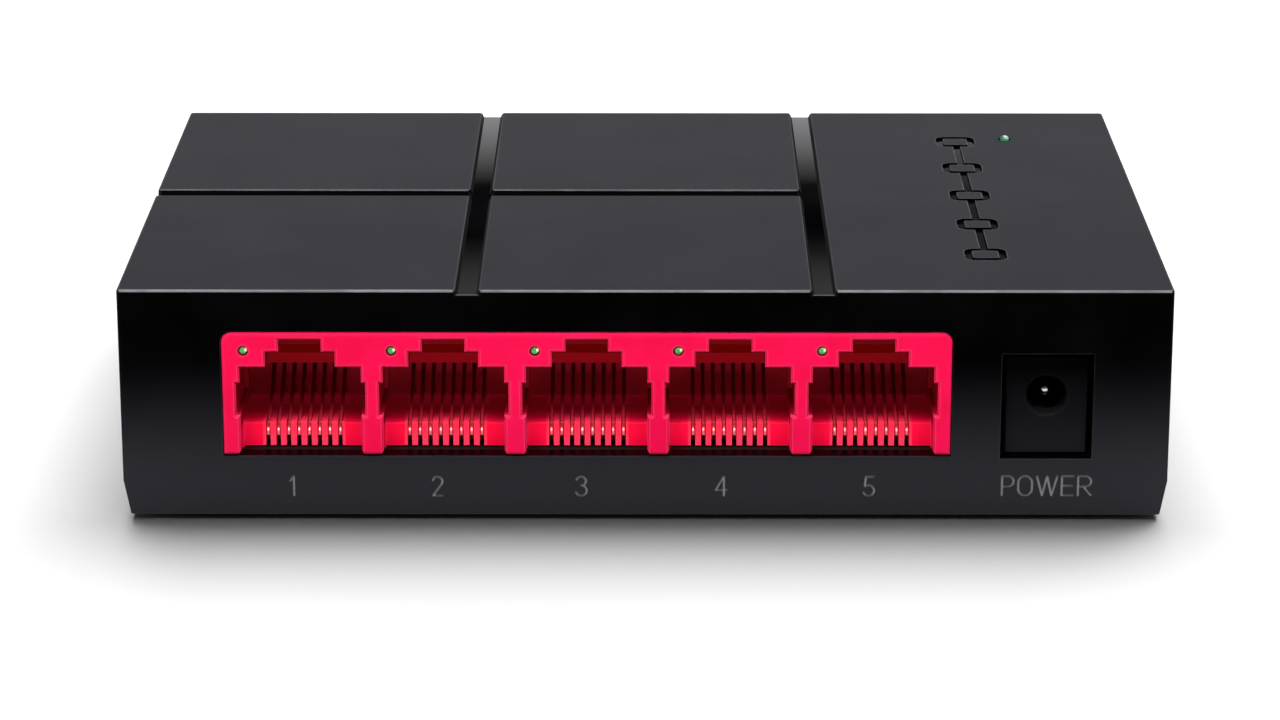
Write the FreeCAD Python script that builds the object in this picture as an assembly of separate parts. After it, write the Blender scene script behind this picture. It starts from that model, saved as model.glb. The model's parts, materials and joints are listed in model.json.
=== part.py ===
"""Desktop network switch with five 8P8C ports, as an assembly of separate solids.

Frame: millimetres, +X to the right seen from the ports, +Y from the port panel to the back, +Z up.
The origin is the centre of the footprint, on the surface that the feet stand on.
"""

import FreeCAD, Part
import math
import os

from FreeCAD import Vector

# ---------------------------------------------------------------- driving dimensions, casing
BODY_W = 102.6  # casing width
BODY_D = 70.0  # casing depth
BODY_H = 23.0  # casing height without the feet
FOOT_PROUD = 0.6  # feet below the casing
GANG_PROUD = 0.3  # port housing in front of the panel
SKIRT_H = 3.4  # height of the tapered skirt
SKIRT_IN = 0.65  # how far the skirt leans in at its lower edge
SIDE_WALL = 1.8
FRONT_WALL = 2.0
ROOF = 2.0
CORNER_R = 0.4  # standing corners
INNER_R = 1.0  # inside corners of the cavity
CHANNEL_X = 17.3  # the two front-to-back channels in the roof are at +/- this
CHANNEL_W = 2.3
CROSS_Y = 1.0  # the groove that crosses the left four tiles
CROSS_W = 2.3
GROOVE_DEPTH = 0.5
GROOVE_DRAFT = 0.25  # lean of the groove walls
TILE_R = 0.4
TILE_EDGE_R = 0.22
RIM_EDGE_R = 0.15  # ends of the channels

# ---------------------------------------------------------------- driving dimensions, base and board
BASE_T = 1.8
BASE_GAP = 0.15
FOOT_R = 4.0
FOOT_T = 1.2
FOOT_X = 41.0
FOOT_FRONT_Y = -25.0
FOOT_REAR_Y = 19.0
SCREW_X = 44.0
SCREW_Y = 29.8
SCREW_R = 1.2
SCREW_HEAD_R = 2.2
SCREW_TIP_Z = 12.0
SCREW_CUP_TOP = 4.0  # the base plate's cups that the screws pull against the cover's bosses
TONGUE_X = (-38.0, 0.0, 38.0)  # front tongues of the base plate
BOARD_UNDER = 4.9  # underside of the circuit board
BOARD_T = 1.6
BOARD_X = 48.5
BOARD_FRONT_Y = -32.3
BOARD_BACK_Y = 26.6
PEG_X = 45.8  # locating pegs of the board
PEG_FRONT_Y = -28.0
PEG_REAR_Y = 22.0
PEG_R = 0.9
VENT_PITCH = 4.0
VENT_COUNT = 15
VENT_W = 1.5
VENT_L = 12.0
VENT_Y = 21.0
LABEL_W = 44.0
LABEL_D = 22.0
LABEL_T = 0.12

# ---------------------------------------------------------------- driving dimensions, ports
PORTS = 5
PORT_PITCH = 13.97
PORT_MID_X = -5.7  # centre of port 3
GANG_W = 71.12
GANG_BACK_Y = -14.0
GANG_TOP = 19.3
WEB_BOTTOM = 6.87  # lower end of the webs in the window
GANG_CORNER_R = 1.0
MAIN_HALF = 5.92  # half widths of the opening, for the plug body, its side springs and its latch
RECESS_HALF = 6.31
STEP_HALF = 3.4
NOTCH_HALF = 2.07
FLOOR_Z = 9.07
RECESS_LOW_Z = 10.87
RECESS_TOP_Z = 14.22
MAIN_TOP_Z = 15.83
STEP_TOP_Z = 17.4
NOTCH_TOP_Z = 18.65
LIP_BACK = 3.4  # comb lip behind the port face
LIP_GAP = 0.22  # the lip stands clear of the board
PLUG_STOP = 11.65  # end of the plug space behind the port face
RECESS_DEPTH = 9.0
FRAME_T = 1.5  # front frame that the plug's latch hooks behind
RIB_L = 4.05  # ribs between the contacts, back from the lip
COMB_DEPTH = 2.3  # slots for the beams' tips, back from the plug stop
COMB_Z = (9.5, 12.65)
RELIEF_Z = 13.7  # floor of the latch channel's deep end, above a plain bar
RELIEF_BACK_Y = -20.6
WEB_R = 0.5  # round corners of the webs' lower ends
GANG_EDGE_R = 0.35
OPENING_EDGE = 0.2  # bevel round each opening
GANG_PEG_Y = -24.0
GANG_PEG_R = 0.75
INSERT_FRONT_Y = -20.3
INSERT_TOP = 11.3
INSERT_HALF = 5.0
CONTACTS = 8
CONTACT_PITCH = 1.016
WIRE = 0.34
SLOT_W = 0.46
RUN_Z = 7.2  # axis of the contact's run over the board
BEND_R = 0.62
BEAM_RISE = 23.7  # degrees
BEAM_L = 9.8
TAIL_ROWS = (-16.3, -18.84)
TAIL_END_Z = 3.2
HINGE_GAP = 0.03

# ---------------------------------------------------------------- driving dimensions, lights
GUIDE_R = 0.45
GUIDE_Z = 17.5
GUIDE_OFFSETS = (-5.5, -5.05, -5.05, -5.05, -5.05)  # from each port's centre
GUIDE_LEG_Y = -11.6
POWER_LIGHT = (39.4, 23.3)
POWER_LIGHT_R = 0.5
POWER_LIGHT_PROUD = 0.45  # its dome stands this far above the roof

# ---------------------------------------------------------------- driving dimensions, power socket
JACK_X = 39.3
JACK_W = 8.0
JACK_H = 9.9
JACK_EDGE = 0.12  # chamfer round the face
JACK_Z = 12.45  # axis of the bore
JACK_RECESS = 1.5  # face behind the panel
JACK_BACK_Y = -19.9
BORE_R = 1.95
BORE_END_Y = -23.4
PIN_R = 0.65
PIN_NECK_R = 0.45  # where it passes through the socket's back wall
PIN_TIP_Y = -31.6
JACK_PEG_Y = -30.0
JACK_PEG_DX = 2.6
JACK_PEG_R = 0.7
WINDOW_X = (34.75, 43.72)
WINDOW_Z = (6.38, 17.14)
LEAF_T = 0.3
LEAF_HALF = 1.0
LEAF_BEND_R = 0.475
LEAF_BEND_Y = -22.4
LEAF_RUN_Z = 7.65
LEAF_BUMP = (-28.6, 10.65)
LEAF_TIP = (-30.8, 9.9)
LEAF_TAIL_Y = -25.0

# ---------------------------------------------------------------- driving dimensions, lettering
STROKE = 0.22
CAP_H = 2.2
ENGRAVE = 0.12
DIGIT_BASE_Z = 2.43
DIGIT_X = (-34.7, -20.4, -6.29, 7.43, 21.97)
WORD_X = 34.93
WORD_BASE_Z = 2.5
WORD_GAP = 0.245
GLYPH_X = 33.9  # engraved sign of five linked nodes on the roof
GLYPH_PITCH = 11.1
GLYPH_NODE = 4.2
GLYPH_STROKE = 0.8
GLYPH_DEPTH = 0.25

# ---------------------------------------------------------------- driving dimensions, electronics
LEAD_RISE = 0.85  # where the leads leave their packages, above the board
SWITCH_CHIP = (-5.7, 12.0)
SWITCH_SIZE = 14.0
MEMORY_CHIP = (-26.0, 15.0)
REGULATOR_CHIP = (27.5, 6.0)
SMALL_CHIP = (4.9, 3.9)  # width and depth of the two eight-lead packages
TRANSFORMER_Y = -5.2
TRANSFORMER = (12.2, 6.4, 4.0)

# ---------------------------------------------------------------- derived places
CASE_LOW = FOOT_PROUD
CASE_TOP = CASE_LOW + BODY_H
SKIRT_TOP = CASE_LOW + SKIRT_H
ROOF_UNDER = CASE_TOP - ROOF
HALF_W = BODY_W / 2
PORT_FACE_Y = -(BODY_D + GANG_PROUD) / 2
FRONT_Y = PORT_FACE_Y + GANG_PROUD
BACK_Y = FRONT_Y + BODY_D
CAVITY_X = HALF_W - SIDE_WALL
CAVITY_FRONT = FRONT_Y + FRONT_WALL
CAVITY_BACK = BACK_Y - SIDE_WALL
BASE_TOP = CASE_LOW + BASE_T
BOARD_TOP = BOARD_UNDER + BOARD_T
PORT_X = [PORT_MID_X + PORT_PITCH * (n - (PORTS - 1) / 2) for n in range(PORTS)]
GANG_X0 = PORT_MID_X - GANG_W / 2
GANG_X1 = PORT_MID_X + GANG_W / 2
LIP_Y = PORT_FACE_Y + LIP_BACK
STOP_Y = PORT_FACE_Y + PLUG_STOP
RIB_END_Y = LIP_Y + RIB_L
COMB_BACK_Y = STOP_Y + COMB_DEPTH
JACK_FACE_Y = FRONT_Y + JACK_RECESS
GUIDE_X = [x + off for x, off in zip(PORT_X, GUIDE_OFFSETS)]
CONTACT_X = [CONTACT_PITCH * (i - (CONTACTS - 1) / 2) for i in range(CONTACTS)]


# ---------------------------------------------------------------- helpers
def box(x0, x1, y0, y1, z0, z1):
    return Part.makeBox(x1 - x0, y1 - y0, z1 - z0, Vector(x0, y0, z0))


def cylinder(radius, start, end):
    """A round bar between two points."""
    axis = Vector(*end) - Vector(*start)
    return Part.makeCylinder(radius, axis.Length, Vector(*start), axis)


def cone(r0, r1, start, end):
    axis = Vector(*end) - Vector(*start)
    return Part.makeCone(r0, r1, axis.Length, Vector(*start), axis)


def rounded_rect(x0, x1, y0, y1, z, radius):
    """A closed wire in a level plane: a rectangle with round corners."""
    k = radius * (1 - math.sqrt(0.5))
    lines = [
        ((x0 + radius, y0), (x1 - radius, y0)),
        ((x1, y0 + radius), (x1, y1 - radius)),
        ((x1 - radius, y1), (x0 + radius, y1)),
        ((x0, y1 - radius), (x0, y0 + radius)),
    ]
    corners = [(x1 - k, y0 + k), (x1 - k, y1 - k), (x0 + k, y1 - k), (x0 + k, y0 + k)]
    edges = []
    for n, ((start, end), mid) in enumerate(zip(lines, corners)):
        following = lines[(n + 1) % len(lines)][0]
        edges.append(Part.LineSegment(Vector(*start, z), Vector(*end, z)).toShape())
        edges.append(Part.Arc(Vector(*end, z), Vector(*mid, z), Vector(*following, z)).toShape())
    return Part.Wire(edges)


def rounded_plate(x0, x1, y0, y1, z0, z1, radius):
    return Part.Face(rounded_rect(x0, x1, y0, y1, z0, radius)).extrude(Vector(0, 0, z1 - z0))


def prism(points, normal_axis, start, length):
    """A polygon given in the plane across normal_axis, pushed along that axis from start."""
    place = {
        "x": lambda a, b: Vector(start, a, b),
        "y": lambda a, b: Vector(a, start, b),
        "z": lambda a, b: Vector(a, b, start),
    }[normal_axis]
    push = {"x": Vector(length, 0, 0), "y": Vector(0, length, 0), "z": Vector(0, 0, length)}
    wire = Part.makePolygon([place(a, b) for a, b in points + points[:1]])
    return Part.Face(wire).extrude(push[normal_axis])


def joined(shapes):
    """One solid from pieces that touch or overlap."""
    return shapes[0].fuse(shapes[1:]).removeSplitter() if len(shapes) > 1 else shapes[0]


def cut(shape, tools):
    return shape.cut(tools) if tools else shape


def moved(shape, x=0.0, y=0.0, z=0.0):
    copy = shape.copy()
    copy.translate(Vector(x, y, z))
    return copy


def group(shapes):
    return Part.makeCompound(shapes)


def edges_at(shape, test):
    """The edges whose every vertex passes the test."""
    return [e for e in shape.Edges if all(test(v.Point) for v in e.Vertexes)]


# ---------------------------------------------------------------- engraved strokes
def line_path(*points):
    flat = [Vector(u, v, 0) for u, v in points]
    return [Part.LineSegment(a, b).toShape() for a, b in zip(flat, flat[1:])]


def arc_path(cx, cy, radius, start, end):
    """An arc of a circle from one angle to another, in degrees, either way round."""
    at = [math.radians(start + (end - start) * t) for t in (0, 0.5, 1)]
    points = [Vector(cx + radius * math.cos(a), cy + radius * math.sin(a), 0) for a in at]
    return [Part.Arc(*points).toShape()]


def link(*paths):
    """One open wire from pieces of path, with a straight edge over each gap."""
    edges = []
    for path in paths:
        for edge in path:
            if edges:
                here = edges[-1].Vertexes[-1].Point
                there = edge.Vertexes[0].Point
                if (here - there).Length > 1e-6:
                    edges.append(Part.LineSegment(here, there).toShape())
            edges.append(edge)
    return edges


def stroke(path, width):
    """The area that a round pen of this width covers along a path that doesn't meet itself."""
    if len(path) > 1 or isinstance(path[0].Curve, Part.Circle):
        return Part.Face(Part.Wire(path).makeOffset2D(width / 2, 0, False, False))
    a, b = (v.Point for v in path[0].Vertexes)
    along = (b - a).normalize() * (width / 2)
    side = Vector(-along.y, along.x, 0)
    edges = [
        Part.LineSegment(a - side, b - side).toShape(),
        Part.Arc(b - side, b + along, b + side).toShape(),
        Part.LineSegment(b + side, a + side).toShape(),
        Part.Arc(a + side, a - along, a - side).toShape(),
    ]
    return Part.Face(Part.Wire(edges))


def ring_face(width, length, radius, pen):
    """A loop of line with round corners, centred on the origin."""
    outer = rounded_rect(-width / 2, width / 2, -length / 2, length / 2, 0, radius)
    w, d = width / 2 - pen, length / 2 - pen
    inner = rounded_rect(-w, w, -d, d, 0, radius - pen)
    return Part.Face(outer).cut(Part.Face(inner)).Faces[0]


def digit_strokes(digit, h):
    """Centre lines of a numeral in a cell about half as wide as it is high."""
    low, top = 0.27 * h, 0.235 * h
    shapes = {
        "1": [line_path((0.12, 0.76 * h), (0.5, h), (0.5, 0))],
        "2": [link(arc_path(0.5, h - 0.5, 0.48, 170, -35), line_path((0.03, 0), (1.0, 0)))],
        "3": [arc_path(0.5, h - top, top, 165, -90), arc_path(0.5, low, low, 90, -165)],
        "4": [line_path((0.78, h), (0, 0.3 * h), (1.08, 0.3 * h)), line_path((0.8, 0), (0.8, 0.98 * h))],
        "5": [link(line_path((0.95, h), (0.2, h), (0.1, 0.52 * h)), arc_path(0.48, 0.56, 0.54, 125, -160))],
    }
    return shapes[digit]


def letter_strokes(letter, w, h):
    """Centre lines of a capital in a cell w wide and h high; side strokes start inside the stem."""
    bowl = 0.27 * h
    inside = 0.04
    stem = line_path((0, 0), (0, h))
    bowl_path = link(
        line_path((inside, h), (w - bowl, h)),
        arc_path(w - bowl, h - bowl, bowl, 90, -90),
        line_path((w - bowl, h - 2 * bowl), (inside, h - 2 * bowl)),
    )
    shapes = {
        "P": [stem, bowl_path],
        "W": [line_path((0, h), (0.27 * w, 0), (0.5 * w, h), (0.73 * w, 0), (w, h))],
        "E": [line_path((w, h), (0, h), (0, 0), (w, 0)), line_path((inside, h / 2), (0.92 * w, h / 2))],
        "R": [stem, bowl_path, line_path((0.42 * w, h - 2 * bowl), (w, 0))],
    }
    return shapes[letter]


def on_panel(face, x, z):
    """A flat mark carried to the front panel, as the solid that engraves it."""
    mark = face.copy()
    mark.rotate(Vector(0, 0, 0), Vector(1, 0, 0), 90)
    mark.translate(Vector(x, FRONT_Y + ENGRAVE, z))
    return mark.extrude(Vector(0, -2 * ENGRAVE, 0))


def engraved(path, x, z):
    """The solid that engraves one stroke of the lettering."""
    return on_panel(stroke(path, STROKE), x, z)


def front_lettering():
    """Port numbers under the ports, and the word over the power socket's lower edge."""
    tall = CAP_H - STROKE
    half = STROKE / 2
    tools = []
    for number, x in enumerate(DIGIT_X, 1):
        width = 1.0 if number > 1 else 0.62
        for path in digit_strokes(str(number), tall):
            tools.append(engraved(path, x - width / 2, DIGIT_BASE_Z + half))
    x = WORD_X
    for letter, width in (("P", 1.35), ("O", 1.57), ("W", 2.22), ("E", 1.35), ("R", 1.5)):
        if letter == "O":
            mark = ring_face(width, CAP_H, 0.49 * width, STROKE)
            tools.append(on_panel(mark, x + width / 2, WORD_BASE_Z + CAP_H / 2))
        else:
            for path in letter_strokes(letter, width - STROKE, tall):
                tools.append(engraved(path, x + half, WORD_BASE_Z + half))
        x += width + WORD_GAP
    return tools


def roof_glyph():
    """Five square nodes on one line, for five linked devices."""
    tools = []
    lift = Vector(0, 0, 2 * GLYPH_DEPTH)
    for n in range(PORTS):
        node = ring_face(GLYPH_NODE, GLYPH_NODE, 1.1, GLYPH_STROKE)
        y = GLYPH_PITCH * (n - (PORTS - 1) / 2)
        tools.append(moved(node, GLYPH_X, y, CASE_TOP - GLYPH_DEPTH).extrude(lift))
        if n:
            half = GLYPH_STROKE / 2
            y0 = y - GLYPH_PITCH + GLYPH_NODE / 2 - half
            y1 = y - GLYPH_NODE / 2 + half
            low = CASE_TOP - GLYPH_DEPTH
            tools.append(box(GLYPH_X - half, GLYPH_X + half, y0, y1, low, low + lift.z))
    return tools


# ---------------------------------------------------------------- casing
def tile(x0, x1, y0, y1):
    """A raised field of the roof; its sides lean only where they face a groove."""

    def grown(low, high, limit_low, limit_high):
        lean_low = 0 if abs(low - limit_low) < 1e-6 else GROOVE_DRAFT
        lean_high = 0 if abs(high - limit_high) < 1e-6 else GROOVE_DRAFT
        return low - lean_low, high + lean_high

    floor = CASE_TOP - GROOVE_DEPTH
    foot = (*grown(x0, x1, -HALF_W, HALF_W), *grown(y0, y1, FRONT_Y, BACK_Y))
    root = rounded_plate(*foot, floor - GROOVE_DEPTH, floor, TILE_R)
    field = Part.makeLoft(
        [rounded_rect(*foot, floor, TILE_R), rounded_rect(x0, x1, y0, y1, CASE_TOP, TILE_R)],
        True,
        True,
    )
    field = field.makeFillet(TILE_EDGE_R, edges_at(field, lambda p: p.z > CASE_TOP - 1e-4))
    return root, field


def casing_block():
    """The outer form, solid: skirt, walls, and the tiles of the roof."""
    inset = HALF_W - SKIRT_IN
    skirt = Part.makeLoft(
        [
            rounded_rect(-inset, inset, FRONT_Y, BACK_Y - SKIRT_IN, CASE_LOW, CORNER_R),
            rounded_rect(-HALF_W, HALF_W, FRONT_Y, BACK_Y, SKIRT_TOP, CORNER_R),
        ],
        True,
        True,
    )
    floor = CASE_TOP - GROOVE_DEPTH
    walls = rounded_plate(-HALF_W, HALF_W, FRONT_Y, BACK_Y, SKIRT_TOP, floor, CORNER_R)
    walls = walls.makeFillet(RIM_EDGE_R, edges_at(walls, lambda p: p.z > floor - 1e-4))
    channel_in = CHANNEL_X - CHANNEL_W / 2
    channel_out = CHANNEL_X + CHANNEL_W / 2
    fields = [tile(channel_out, HALF_W, FRONT_Y, BACK_Y)]
    for x0, x1 in ((-HALF_W, -channel_out), (-channel_in, channel_in)):
        fields.append(tile(x0, x1, FRONT_Y, CROSS_Y - CROSS_W / 2))
        fields.append(tile(x0, x1, CROSS_Y + CROSS_W / 2, BACK_Y))
    return joined([skirt, walls] + [piece for pair in fields for piece in pair])


def gang_window():
    """The hole in the front panel around the port housing, with its two upper corners round."""
    gap = 0.08
    x0, x1 = GANG_X0 - gap, GANG_X1 + gap
    radius = GANG_CORNER_R + gap
    top = GANG_TOP + gap
    y0, y1 = FRONT_Y - 1, CAVITY_FRONT + 1
    low = WEB_BOTTOM - 0.23
    return [
        box(x0, x1, y0, y1, low, top - radius),
        box(x0 + radius, x1 - radius, y0, y1, top - radius - 1, top),
        cylinder(radius, (x0 + radius, y0, top - radius), (x0 + radius, y1, top - radius)),
        cylinder(radius, (x1 - radius, y0, top - radius), (x1 - radius, y1, top - radius)),
    ]


def top_cover():
    shell = casing_block()
    cavity = rounded_plate(
        -CAVITY_X, CAVITY_X, CAVITY_FRONT, CAVITY_BACK, CASE_LOW - 1, ROOF_UNDER, INNER_R
    )
    shell = cut(shell, [cavity])
    light_x, light_y = POWER_LIGHT
    sunk = 0.1  # how deep the inner ribs run into the walls they grow from
    boss_low = SCREW_CUP_TOP + 0.05
    ribs = []
    for side in (-1, 1):
        x = side * SCREW_X
        ribs.append(cylinder(2.7, (x, SCREW_Y, boss_low), (x, SCREW_Y, ROOF_UNDER + sunk)))
        ribs.append(box(x - 0.6, x + 0.6, SCREW_Y + 2, CAVITY_BACK + sunk, boss_low, ROOF_UNDER + sunk))
        reach = sorted((side * 46.2, side * (CAVITY_X + sunk)))
        for y in (-24.0, 16.0):
            ribs.append(box(*reach, y - 0.8, y + 0.8, BOARD_TOP + 0.1, ROOF_UNDER + sunk))
        reach = sorted((side * 48.6, side * (CAVITY_X + sunk)))
        for y in (-28.0, -2.0, 24.0):
            ribs.append(box(*reach, y - 1.2, y + 1.2, BASE_TOP + 0.05, 4.6))
    for x in (-25.0, 0.0, 25.0):
        ribs.append(box(x - 1.2, x + 1.2, 32.2, CAVITY_BACK + sunk, BASE_TOP + 0.05, 4.6))
    ribs.append(cylinder(2.3, (light_x, light_y, 14.0), (light_x, light_y, ROOF_UNDER + sunk)))
    shell = joined([shell] + ribs)
    holes = gang_window()
    holes.append(box(*WINDOW_X, FRONT_Y - 1, CAVITY_FRONT + 1, *WINDOW_Z))
    for x in TONGUE_X:
        holes.append(box(x - 3.3, x + 3.3, CAVITY_FRONT - 1.0, CAVITY_FRONT + 0.5, 1.15, 2.55))
    for side in (-1, 1):
        x = side * SCREW_X
        holes.append(cylinder(SCREW_R + 0.05, (x, SCREW_Y, 3.0), (x, SCREW_Y, SCREW_TIP_Z + 1.0)))
    bore_top = ROOF_UNDER - 0.5
    holes.append(cylinder(1.28, (light_x, light_y, 13.0), (light_x, light_y, bore_top)))
    holes.append(cylinder(POWER_LIGHT_R + 0.06, (light_x, light_y, 20.0), (light_x, light_y, CASE_TOP + 1)))
    holes.append(cone(0.5, 0.8, (light_x, light_y, CASE_TOP - 0.2), (light_x, light_y, CASE_TOP + 0.1)))
    return cut(cut(shell, holes), front_lettering() + roof_glyph())


def vents():
    """Rows of slots through the base plate, in front of and behind the label."""
    slots = []
    for y in (-VENT_Y, VENT_Y):
        for n in range(VENT_COUNT):
            x = VENT_PITCH * (n - (VENT_COUNT - 1) / 2)
            slots.append(
                rounded_plate(
                    x - VENT_W / 2,
                    x + VENT_W / 2,
                    y - VENT_L / 2,
                    y + VENT_L / 2,
                    CASE_LOW - 1,
                    BASE_TOP + 1,
                    VENT_W / 2 - 0.01,
                )
            )
    return slots


def base_cover():
    x = CAVITY_X - BASE_GAP
    y0, y1 = CAVITY_FRONT + BASE_GAP, CAVITY_BACK - BASE_GAP
    plate = rounded_plate(-x, x, y0, y1, CASE_LOW, BASE_TOP, INNER_R)
    lip_low, lip_top = BASE_TOP - 0.2, BASE_TOP + 1.2
    lip = cut(
        rounded_plate(-48.2, 48.2, -31.4, 31.9, lip_low, lip_top, INNER_R),
        [rounded_plate(-47.0, 47.0, -30.4, 30.9, lip_low - 1, lip_top + 1, INNER_R)],
    )
    parts = [plate, lip]
    for side in (-1, 1):
        for y in (PEG_FRONT_Y, PEG_REAR_Y):
            x_peg = side * PEG_X
            parts.append(cylinder(2.0, (x_peg, y, CASE_LOW + 1), (x_peg, y, BOARD_UNDER)))
            parts.append(cylinder(PEG_R, (x_peg, y, BOARD_UNDER - 1), (x_peg, y, BOARD_TOP - 0.2)))
        parts.append(cylinder(1.6, (side * 20.0, 0, CASE_LOW + 1), (side * 20.0, 0, BOARD_UNDER)))
        x_cup = side * SCREW_X
        parts.append(cylinder(3.2, (x_cup, SCREW_Y, CASE_LOW + 1), (x_cup, SCREW_Y, SCREW_CUP_TOP)))
    for tongue_x in TONGUE_X:
        parts.append(box(tongue_x - 3, tongue_x + 3, y0 - 0.9, y0 + 0.5, 1.3, BASE_TOP))
    holes = vents()
    for side in (-1, 1):
        sx = side * SCREW_X
        holes.append(cylinder(2.45, (sx, SCREW_Y, CASE_LOW - 1), (sx, SCREW_Y, 2.6)))
        holes.append(cylinder(SCREW_R + 0.2, (sx, SCREW_Y, CASE_LOW), (sx, SCREW_Y, 5)))
        for y in (FOOT_FRONT_Y, FOOT_REAR_Y):
            holes.append(cylinder(FOOT_R + 0.15, (side * FOOT_X, y, 0), (side * FOOT_X, y, FOOT_T)))
    half_w, half_d = LABEL_W / 2 + 0.3, LABEL_D / 2 + 0.3
    holes.append(rounded_plate(-half_w, half_w, -half_d, half_d, 0, CASE_LOW + LABEL_T + 0.03, 1.3))
    return cut(joined(parts), holes)


def foot(side, y):
    """A round rubber pad with a soft lower edge, stuck in its recess."""
    pad = cylinder(FOOT_R, (side * FOOT_X, y, 0), (side * FOOT_X, y, FOOT_T))
    return pad.makeFillet(0.4, edges_at(pad, lambda p: p.z < 1e-4))


def base_screw(side):
    """A pan-head self-tapping screw with a cross recess."""
    x, y = side * SCREW_X, SCREW_Y
    head = cylinder(SCREW_HEAD_R, (x, y, 0.95), (x, y, 2.6))
    head = head.makeFillet(0.6, edges_at(head, lambda p: p.z < 1.0))
    shank = cylinder(SCREW_R, (x, y, 2.5), (x, y, SCREW_TIP_Z - 1.5))
    tip = cone(SCREW_R, 0.35, (x, y, SCREW_TIP_Z - 1.5), (x, y, SCREW_TIP_Z))
    slots = [
        box(x - 1.25, x + 1.25, y - 0.28, y + 0.28, 0, 1.75),
        box(x - 0.28, x + 0.28, y - 1.25, y + 1.25, 0, 1.75),
    ]
    return cut(joined([head, shank, tip]), slots)


def rating_label():
    low = CASE_LOW + 0.03
    return rounded_plate(-LABEL_W / 2, LABEL_W / 2, -LABEL_D / 2, LABEL_D / 2, low, low + LABEL_T, 1.0)


# ---------------------------------------------------------------- circuit board
def board_holes():
    """Round holes: board pegs, contact tails, port housing pegs and the power socket's tails."""
    spots = [(side * PEG_X, y, PEG_R + 0.12) for side in (-1, 1) for y in (PEG_FRONT_Y, PEG_REAR_Y)]
    for port_x in PORT_X:
        for n, dx in enumerate(CONTACT_X):
            spots.append((port_x + dx, TAIL_ROWS[n % 2], 0.4))
    spots += [(x, GANG_PEG_Y, GANG_PEG_R + 0.1) for x in gang_peg_places()]
    spots += [(JACK_X + dx, JACK_PEG_Y, JACK_PEG_R + 0.1) for dx in (-JACK_PEG_DX, JACK_PEG_DX)]
    spots += [(JACK_X, LEAF_TAIL_Y, 0.9), (JACK_X, JACK_BACK_Y + 0.25, 0.9)]
    return spots


def circuit_board():
    board = rounded_plate(-BOARD_X, BOARD_X, BOARD_FRONT_Y, BOARD_BACK_Y, BOARD_UNDER, BOARD_TOP, 1.0)
    drills = [cylinder(r, (x, y, BOARD_UNDER - 1), (x, y, BOARD_TOP + 1)) for x, y, r in board_holes()]
    return cut(board, drills)


# ---------------------------------------------------------------- port housing
def gang_peg_places():
    """Under the webs between the ports, and under the two end walls."""
    between = [x + PORT_PITCH / 2 for x in PORT_X[:-1]]
    return [GANG_X0 + 0.85] + between + [GANG_X1 - 0.85]


def opening_outline(port_x, y, grow):
    """The stepped opening of one port, with the webs' lower ends rounded, as a wire."""
    main = MAIN_HALF + grow
    foot_z = WEB_BOTTOM - grow
    right = [
        (main, foot_z + WEB_R),
        (main, RECESS_LOW_Z - grow),
        (RECESS_HALF + grow, RECESS_LOW_Z - grow),
        (RECESS_HALF + grow, RECESS_TOP_Z + grow),
        (main, RECESS_TOP_Z + grow),
        (main, MAIN_TOP_Z + grow),
        (STEP_HALF + grow, MAIN_TOP_Z + grow),
        (STEP_HALF + grow, STEP_TOP_Z + grow),
        (NOTCH_HALF + grow, STEP_TOP_Z + grow),
        (NOTCH_HALF + grow, NOTCH_TOP_Z + grow),
    ]
    path = right + [(-dx, z) for dx, z in reversed(right)]
    points = [Vector(port_x + dx, y, z) for dx, z in path]
    edges = [Part.LineSegment(a, b).toShape() for a, b in zip(points, points[1:])]
    below = BOARD_TOP - 1
    k = WEB_R * (1 - math.sqrt(0.5))

    def at(dx, z):
        return Vector(port_x + dx, y, z)

    edges.append(
        Part.Arc(
            at(-main, foot_z + WEB_R), at(-main - k, foot_z + k), at(-main - WEB_R, foot_z)
        ).toShape()
    )
    corner = main + WEB_R
    for a, b in (
        ((-corner, foot_z), (-corner, below)),
        ((-corner, below), (corner, below)),
        ((corner, below), (corner, foot_z)),
    ):
        edges.append(Part.LineSegment(at(*a), at(*b)).toShape())
    edges.append(
        Part.Arc(at(corner, foot_z), at(main + k, foot_z + k), at(main, foot_z + WEB_R)).toShape()
    )
    return Part.Wire(edges)


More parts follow.
